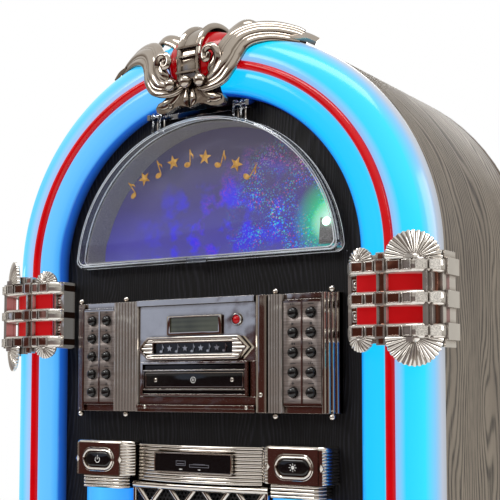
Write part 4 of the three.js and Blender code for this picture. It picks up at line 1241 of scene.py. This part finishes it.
def build_nameplate():
    z = BADGE_Z
    face = -1.6
    plate = Shape()

    def hexagon(grow):
        return [(-76 - grow, z), (-63 - grow * 0.4, z - 13 - grow), (63 + grow * 0.4, z - 13 - grow),
                (76 + grow, z), (63 + grow * 0.4, z + 13 + grow), (-63 - grow * 0.4, z + 13 + grow)]
    window = [(-55, z - 6.2), (-55, z + 6.2), (55, z + 6.2), (55, z - 6.2)]
    plate.holed([hexagon(0), hexagon(-2.4)], face - 0.8, 4.4, 0.4)
    plate.holed([hexagon(-2.2), window], face + 1.2, 4.4, 0.3)
    for i in range(5):
        level = z + (i - 2) * 4.4
        reach = 73 - abs(level - z) * 1.0
        for side in (-1, 1):
            profile = arc(face + 1.4, level, 1.3, 1.7, 90, 270, 8)
            plate.bar(profile, *sorted((side * 56, side * reach)))
    for low, high in ((7.2, 8.6), (9.6, 11.0)):
        for side in (-1, 1):
            plate.bar(arc(face + 1.3, z + side * (low + high) / 2, 1.1, 0.8, 90, 270, 8), -60, 60)
    plate.block(-55, 55, 2.6, 4.3, z - 6.2, z + 6.2, 1)
    for i in range(9):
        x = -44 + 11 * i
        for outline in ([star(4.0)] if i % 2 else note(5.0)):
            plate.plate(placed(outline, x, z), 1.4, 3.0)
    plate.make("console_badge", [CHROME, GLOSS_BLACK], hides=["nameplate"], slot="chrome")


def build_drive():
    x0, x1, _, y1, z0, z1 = span("cd_mechanism")
    _, tx1, _, _, tz0, tz1 = span("cd_tray")
    drive = Shape()
    for inset, width, front, tone in ((0, 2.4, 0.4, 0), (2.6, 1.6, 3.2, 1)):
        drive.frame(rectangle(x1 - inset, z0 + inset, z1 - inset),
                    rectangle(x1 - inset - width, z0 + inset + width, z1 - inset - width), front, 8, tone)
    drive.frame(rectangle(tx1 + 2.1, tz0 - 6.5, tz1 + 8.8), rectangle(tx1 + 1.7, tz0 - 1.7, tz1 + 1.7),
                3.2, 8, 1)
    drive.frame(rectangle(tx1 + 1.8, tz0 - 1.8, tz1 + 1.8), rectangle(tx1 + 0.5, tz0 - 0.5, tz1 + 0.5),
                1.4, 8)
    drive.block(x0 + 1, x1 - 1, 7.5, y1, z0 + 1, z0 + 2.4, 2)
    drive.block(x0 + 1, x1 - 1, 7.5, y1, z1 - 2.4, z1 - 1, 2)
    for side in (-1, 1):
        drive.block(*sorted((side * (x1 - 1), side * (x1 - 3))), 7.5, y1, z0 + 1, z1 - 1, 2)
    drive.block(x0 + 1, x1 - 1, y1 - 2, y1, z0 + 1, z1 - 1, 2)
    drive.make("disc_drive", [CHROME, GLOSS_BLACK, STEEL], hides=["cd_mechanism"], slot="black_plastic",
               bevel=0.3)


def build_tray():
    _, tx1, ty0, ty1, tz0, tz1 = span("cd_tray")
    tray = Shape()
    tray.holed([rectangle(tx1, tz0, tz1)], ty0, ty0 + 4.6, 0.5)
    tray.holed([rectangle(tx1 - 1.4, tz0 + 1.4, tz1 - 1.4), rectangle(tx1 - 2.2, tz0 + 2.2, tz1 - 2.2)],
               ty0 - 0.3, ty0 + 0.6, 0.1, 1)
    middle = (tz0 + tz1) / 2
    for x in (-53.2, 53.2):
        screw(tray, (x, ty0, middle), 2.6, -1, 1)
    ring = [circle(0, middle, 3.6), circle(0, middle, 2.9)]
    tray.holed(ring, ty0 - 0.15, ty0 + 0.2, 0, 2)
    tray.holed([circle(0, middle, 1.4), circle(0, middle, 0.8)], ty0 - 0.15, ty0 + 0.2, 0, 2)
    deck_low, deck_high = tz0 + 3, tz0 + 9
    base = [(-64, ty0 + 4), (64, ty0 + 4), (64, ty1 - 6), (58, ty1), (-58, ty1), (-64, ty1 - 6)]
    tray.column(base, deck_low, deck_low + 2.6, 3)
    centre_y = 72
    rings = []
    for radius, z in ((61.5, deck_low + 2.4), (61.5, deck_high), (63, deck_high), (63, deck_low + 2.4)):
        rings.append([(radius * c, centre_y + radius * s, z) for c, s in arc(0, 0, 1, 1, 0, 360, 64)[:-1]])
    tray.loft(rings, 3, closed=True)
    hub = [(1e-4, 3.0), (6, 2.8), (8, 2.0), (16, 1.2), (17, 0), (1e-4, -1)]
    tray.lathe((0, centre_y, deck_low + 2.4), hub, (0, 0, 1), 40, 3)
    for side in (-1, 1):
        tray.block(*sorted((side * 61, side * 64)), ty0 + 4, ty1 - 6, deck_low, deck_high, 3)
    tray.make("disc_tray", [GLOSS_BLACK, CHROME, WHITE_INK, MATT_BLACK], "tray", ["cd_tray"],
              "black_plastic")


# ---------------------------------------------------------------- switches, media strip, pilasters
def build_switch_housing(name, side):
    top = span("switch_block_right")[5]
    block = Shape()
    rows, rings = 44, []
    for row in range(rows + 1):
        z = SWITCH_SHOULDER + (top - 4 - SWITCH_SHOULDER) * row / rows
        rib = 1.3 * abs(math.sin(math.pi * row / 4))
        rings.append(level_ring((
            (96, TRIM_BACK), (89.4 - rib, 19), (89.4 - rib, 9), (99 - rib, -0.6 - rib * 0.3), (104, -2),
            (163, -2), (168.5 + rib * 0.6, -0.8), (174 + rib, 6), (175.6 + rib, TRIM_BACK)), z))
    for inset, z in ((0.4, top - 3), (1.4, top - 1.2), (3.2, top - 0.2), (5, top)):
        rings.append(level_ring((
            (96 + inset * 0.2, TRIM_BACK), (88.4 + inset, 19), (88.4 + inset, 9 + inset * 0.4),
            (99 + inset * 0.5, -1.4 + inset), (104, -2 + inset), (163, -2 + inset),
            (168.8 - inset * 0.5, -1 + inset), (174.6 - inset, 6 + inset * 0.4), (176 - inset, TRIM_BACK)),
            z))
    block.loft(rings)
    rings = []
    for row in range(25):
        z = -259.4 + 15.6 * row / 24
        rib = 1.2 * abs(math.sin(math.pi * row / 6))
        rings.append(level_ring((
            (98 - rib, TRIM_BACK), (98 - rib, 10), (106 - rib * 0.5, 0.6 - rib),
            (158 + rib * 0.5, 0.6 - rib), (167 + rib, 10), (167 + rib, TRIM_BACK)), z))
    block.loft(rings)
    block.block(103, 164.5, -2.9, 2, SWITCH_SHOULDER + 0.6, top - 3.4)
    ring = []
    for grow, y in ((0.9, -1), (0.9, -4.6), (1.8, -5.4), (2.8, -5.0), (3.4, -4.0), (4.6, -4.0), (5.2, -3.4),
                    (5.4, -1)):
        outline = pill(BUTTON_X, BUTTON_Z, BUTTON_HALF + grow, BUTTON_RISE + grow, 20)
        ring.append(upright_ring(outline, y))
    block.loft(ring, closed=True)
    for x, y, z in ((102.4, -2, BUTTON_Z), (167.6, -1.2, BUTTON_Z)):
        stud = [(x - 3.2, z), (x, z - 4.2), (x + 3.2, z), (x, z + 4.2)]
        tip = [(x + (a - x) * 0.1, y - 2.4, z + (b - z) * 0.1) for a, b in stud]
        block.loft([upright_ring(stud, y + 1), upright_ring(stud, y - 0.6), tip])
    block.to_side(side)
    block.make(f"switch_housing_{name}", CHROME, hides=[f"switch_block_{name}"], slot="chrome")


def build_button(side):
    """The power button on the left, with a power sign, or the light button, with a sun."""
    centre = side * BUTTON_X
    button = Shape()
    rings = []
    for inset, y in ((0, 14), (0, -2.6), (0.5, -3.4), (1.4, -3.9), (3.0, -4.2)):
        outline = pill(centre, BUTTON_Z, BUTTON_HALF - inset, BUTTON_RISE - inset, 16)
        rings.append(upright_ring(outline, y))
    button.loft(rings)
    front, back = -4.35, -4.0
    if side < 0:
        gap = (arc(centre, BUTTON_Z - 0.4, 3.8, 3.8, 125, 415, 22)
               + arc(centre, BUTTON_Z - 0.4, 3.0, 3.0, 415, 125, 22))
        button.plate(gap, front, back, 1)
        button.plate(rectangle_from(centre - 0.45, centre + 0.45, BUTTON_Z, BUTTON_Z + 4.8), front, back, 1)
    else:
        button.plate(circle(centre, BUTTON_Z, 2.0, 20), front, back, 1)
        for turn in range(0, 360, 45):
            ray = placed(rectangle_from(2.9, 4.6, -0.35, 0.35), centre, BUTTON_Z, turn)
            button.plate(ray, front, back, 1)
    body, node = ("power_switch", "power_button") if side < 0 else ("light_switch", "light_button")
    button.make(f"pill_{node}", [GLOSS_BLACK, WHITE_INK], body, [node], "black_plastic")


def build_switches():
    for name, side in SIDES:
        build_switch_housing(name, side)
        build_button(side)


def build_media_strip():
    x0, x1, _, _, z0, z1 = span("media_strip")
    strip = Shape()
    profile = ribs(z0, z1, 11, 1.7)
    rings = []
    for i in range(33):
        x = x0 + (x1 - x0) * i / 32
        bow = 3.4 + 13 * (x / 91.3) ** 2
        face = [(x, bow + depth, z) for z, depth in profile]
        rings.append([*face, (x, TRIM_BACK, z1), (x, TRIM_BACK, z0)])
    strip.loft(rings)
    half, low, high = MEDIA_WINDOW
    strip.holed([rectangle(half + 1.5, low - 1.5, high + 1.5), rectangle(*MEDIA_WINDOW)], 0.3, 5, 0.4)
    strip.block(-half, half, 1.3, 6, low, high, 1)
    for x, wide, z, tall in ((-16, 13.4, -226.4, 5.8), (9.5, 27, -229, 3.4)):
        socket = [rectangle_at(x, wide, z, tall), rectangle_at(x, wide - 1.4, z, tall - 1.4)]
        strip.holed(socket, 0.8, 1.8, 0.1, 3)
    strip.block(-21, -11, 1.0, 3, -227.6, -226.4, 3)
    strip.block(1.5, 17.5, 0.6, 3, -227.2, -226.6, 3)
    for x, wide in ((-16, 4.2), (9.5, 3.0)):
        strip.plate(rectangle_at(x, wide, -233.2, 0.8), 1.0, 1.6, 2)
    strip.make("media_panel", [CHROME, GLOSS_BLACK, WHITE_INK, GREY_PLASTIC], hides=["media_strip"],
               slot="chrome")


def build_grille_rail():
    gx0, gx1, _, _, _, gz1 = GRILLE_BOX
    rail = Shape()
    top = [(14, gz1 - 9), (8, gz1 - 8), (5.4, gz1 - 5.4), (5.4, gz1 - 2), (8, gz1), (17, gz1),
           (17, gz1 - 9)]
    rings = []
    for i in range(17):
        x = gx0 + (gx1 - gx0) * i / 16
        bow = 6 * (x / gx1) ** 2
        rings.append([(x, y + bow, z) for y, z in top])
    rail.loft(rings)
    rail.make("grille_rail", CHROME, slot="chrome", sharp=60)


def build_pilasters():
    z0, z1 = span("pilaster_right")[4:]
    middle, half = PILASTER_X, PILASTER_HALF
    foot_top = FLOOR + 105
    for name, side in SIDES:
        section = [(middle + half, TRIM_BACK), *arc(middle, 20, half, 22, 0, -180, 28),
                   (middle - half, TRIM_BACK)]
        across = [0.0] + [0.06 + 0.88 * i / 28 for i in range(29)] + [1.0]
        shape = Shape()
        shape.loft([level_ring(section, z) for z in (foot_top, z1)], across=across)
        shape.to_side(side).make(f"glow_pilaster_{name}", PILASTER_LIGHT, hides=[f"pilaster_{name}"],
                                 slot="lit_tube")
        foot = Shape()
        rings = []
        for row in range(41):
            z = z0 + (foot_top + 1 - z0) * row / 40
            rib = 1.4 * abs(math.sin(math.pi * row / 8))
            rings.append(level_ring((
                (95.4 - rib, TRIM_BACK), (95.4 - rib, 6), (102, -4 - rib), (162, -4 - rib),
                (168.6 + rib, 6), (168.6 + rib, TRIM_BACK)), z))
        foot.loft(rings)
        foot.to_side(side).make(f"pilaster_foot_{name}", CHROME, slot="chrome")


# ---------------------------------------------------------------- grille and loudspeakers
def build_lattice():
    x0, x1, y0, y1, z0, z1 = GRILLE_BOX
    lattice = Shape()
    cell_x, cell_z = (x1 - x0) / 4, (z1 - z0) / 7
    slope = cell_z / cell_x
    lattice.holed([rectangle(x1, z0, z1), rectangle(x1 - 4, z0 + 4, z1 - 4)], y0, y1, 0.6)
    for direction in (-1, 1):
        for i in range(-8, 12):
            start = x0 + cell_x * i
            line = [(start + direction * (z - z0) / slope, z) for z in (z0 + 4, z1 - 4)]
            ends = clip_line(line, x0 + 3, x1 - 3)
            if not ends:
                continue
            a, b = (Vector((x, y0 + 2.8, z)) for x, z in ends)
            half_round = [(3.1 * c, 2.8 * s) for c, s in arc(0, 0, 1, 1, 0, 180, 10)]
            lattice.rope([a, (a + b) / 2, b], lambda t: half_round, up=(0, -1, 0))
    lattice.make("chrome_lattice", CHROME, hides=["grille_lattice"], slot="chrome", sharp=50)


def build_mesh():
    mx0, mx1, my0, _, mz0, mz1 = span("grille_mesh")
    pitch = 5.2
    mesh = Shape()
    rows = int((mz1 - mz0) / (pitch * 0.866)) - 1
    columns = int((mx1 - mx0) / pitch) - 1
    holes = []
    for row in range(rows):
        for column in range(columns):
            x = mx0 + pitch * (column + 0.8 + 0.5 * (row % 2))
            z = mz0 + pitch * 0.866 * (row + 1)
            holes.append(circle(x, z, 1.75, 8))
    mesh.holed([rectangle(mx1, mz0, mz1), *holes], my0, my0 + 1.2)
    mesh.make("perforated_mesh", MATT_BLACK, hides=["grille_mesh"], slot="black_metal")


def build_speakers():
    for node in ("speaker_upper", "speaker_lower"):
        _, _, sy0, _, sz0, sz1 = span(node)
        centre = (0, sy0, (sz0 + sz1) / 2)
        speaker = Shape()
        cone = [(1e-4, 10), (10, 10.6), (20, 14), (24, 20), (30, 17), (44, 9.5), (58, 3.2), (61, 1.2),
                (64, 0.6), (67, 1.6), (70, 3.6), (72, 1.0), (77.5, 0.4), (78, 2), (78, 5), (70, 8), (58, 20),
                (40, 38), (38, 42), (38, 65), (1e-4, 66)]
        speaker.lathe(centre, cone, (0, 1, 0), 64)
        speaker.make(f"cone_{node}", MATT_BLACK, hides=[node], slot="speaker", sharp=50)


def clip_line(points, left, right):
    """The part of a straight line between two x limits, or None."""
    (xa, za), (xb, zb) = points
    ends = []
    for t in sorted(((left - xa) / (xb - xa), (right - xa) / (xb - xa))):
        t = min(1.0, max(0.0, t))
        ends.append((xa + (xb - xa) * t, za + (zb - za) * t))
    length = math.hypot(ends[1][0] - ends[0][0], ends[1][1] - ends[0][1])
    return ends if length > 4 else None


PILASTER_LIGHT = tube_light("pilaster_light", [
    (0.0, (20, 90, 220)), (0.15, (30, 150, 255)), (0.5, (70, 190, 255)), (0.85, (30, 150, 255)),
    (1.0, (20, 90, 220)),
], 1.0)

build_cabinet()
build_back_screws()
build_tubes()
build_bands()
build_crown()
build_crown_gem()
build_window()
build_window_liner()
build_lamp()
build_door()
build_motif()
build_door_edge()
build_console()
build_keypads()
build_display()
build_sensor()
build_nameplate()
build_drive()
build_tray()
build_switches()
build_media_strip()
build_grille_rail()
build_pilasters()
build_lattice()
build_mesh()
build_speakers()
finish_node("amplifier_board", STEEL)


# ---------------------------------------------------------------- studio
def add_floor():
    made = Finish("studio_floor", (0.82, 0.82, 0.82), 0.6)
    made.link(made.ramp(made.noise(2, 2), [(0.3, (0.80, 0.80, 0.80)), (0.7, (0.84, 0.84, 0.84))]),
              "Base Color")
    mesh = bpy.data.meshes.new("floor")
    rim = [(x, y, 0) for x, y in arc(0, 0, 1.7, 1.7, 0, 360, 96)[:-1]]
    mesh.from_pydata(rim, [], [tuple(range(len(rim)))])
    mesh.materials.append(made.material)
    floor = bpy.data.objects.new("floor", mesh)
    bpy.context.scene.collection.objects.link(floor)


def add_light(name, place, aim, width, height, power, colour=(1, 1, 1)):
    data = bpy.data.lights.new(name, "AREA")
    data.shape = "RECTANGLE"
    data.size, data.size_y = width, height
    data.energy = power
    data.color = colour
    light = bpy.data.objects.new(name, data)
    light.location = place
    light.rotation_euler = (Vector(aim) - Vector(place)).to_track_quat("-Z", "Y").to_euler()
    bpy.context.scene.collection.objects.link(light)


def add_world():
    """White to the eye; a room with a bright ceiling and brown lower walls in the reflections."""
    world = bpy.data.worlds.new("studio")
    bpy.context.scene.world = world
    world.use_nodes = True
    sky = Graph(world.node_tree, "Generated")
    split = sky.node("SeparateXYZ", {"Vector": sky.place})
    patches = sky.noise(4.2)
    height = sky.node("Math", {0: patches, 1: 0.24, 2: split.outputs["Z"]},
                      operation="MULTIPLY_ADD").outputs[0]
    level = sky.span(height, 0, 1, -0.38, 0.62)
    front = sky.ramp(level, [
        (0.0, (0.46, 0.40, 0.34)), (0.22, (0.26, 0.19, 0.15)), (0.34, (0.085, 0.026, 0.022)),
        (0.60, (0.058, 0.022, 0.017)), (0.64, (0.50, 0.48, 0.45)), (0.74, (0.60, 0.57, 0.53)),
        (0.80, (0.22, 0.17, 0.14)), (0.86, (0.70, 0.67, 0.62)), (1.0, (1.0, 0.98, 0.95)),
    ])
    rear = sky.ramp(level, [
        (0.0, (0.40, 0.35, 0.30)), (0.34, (0.30, 0.26, 0.22)), (0.44, (0.50, 0.47, 0.42)),
        (0.62, (0.58, 0.55, 0.50)), (0.75, (0.30, 0.25, 0.21)), (1.0, (0.9, 0.88, 0.85)),
    ])
    turned = sky.span(split.outputs["Y"], 0, 1, -0.72, -0.05)
    room = sky.node("MixRGB", {"Fac": turned, "Color1": front, "Color2": rear}).outputs[0]
    toward = Vector((-0.60, -0.80, 0.10)).normalized()
    facing = sky.node("VectorMath", {0: sky.place, 1: toward}, operation="DOT_PRODUCT").outputs["Value"]
    pane = sky.span(facing, 0, 1, 0.9935, 0.9950)
    sill = sky.span(height, 0, 1, 0.165, 0.178)
    window = sky.node("Math", {0: pane, 1: sill}, operation="MULTIPLY").outputs[0]
    scene_light = sky.node("MixRGB", {"Fac": window, "Color1": room,
                                      "Color2": (0.46, 0.52, 0.68, 1)}).outputs[0]
    direct = sky.node("LightPath").outputs["Is Camera Ray"]
    seen = sky.node("MixRGB", {"Fac": direct, "Color1": scene_light, "Color2": (1, 1, 1, 1)}).outputs[0]
    sky.tree.links.new(seen, sky.tree.nodes["Background"].inputs["Color"])


def add_lights():
    add_light("key", (-1.7, -2.4, 2.5), (0, 0, 0.7), 1.4, 0.9, 34)
    add_light("side", (2.7, 0.6, 1.7), (0.2, 0, 0.7), 1.6, 1.6, 50)
    add_light("top", (0.3, -0.5, 2.6), (0, 0, 0.9), 1.5, 0.5, 20)
    add_light("back", (-0.8, 2.6, 1.6), (0, 0, 0.7), 1.8, 1.4, 40)


add_floor()
add_world()
add_lights()
bpy.context.scene.view_settings.view_transform = "Standard"

bpy.context.view_layer.update()
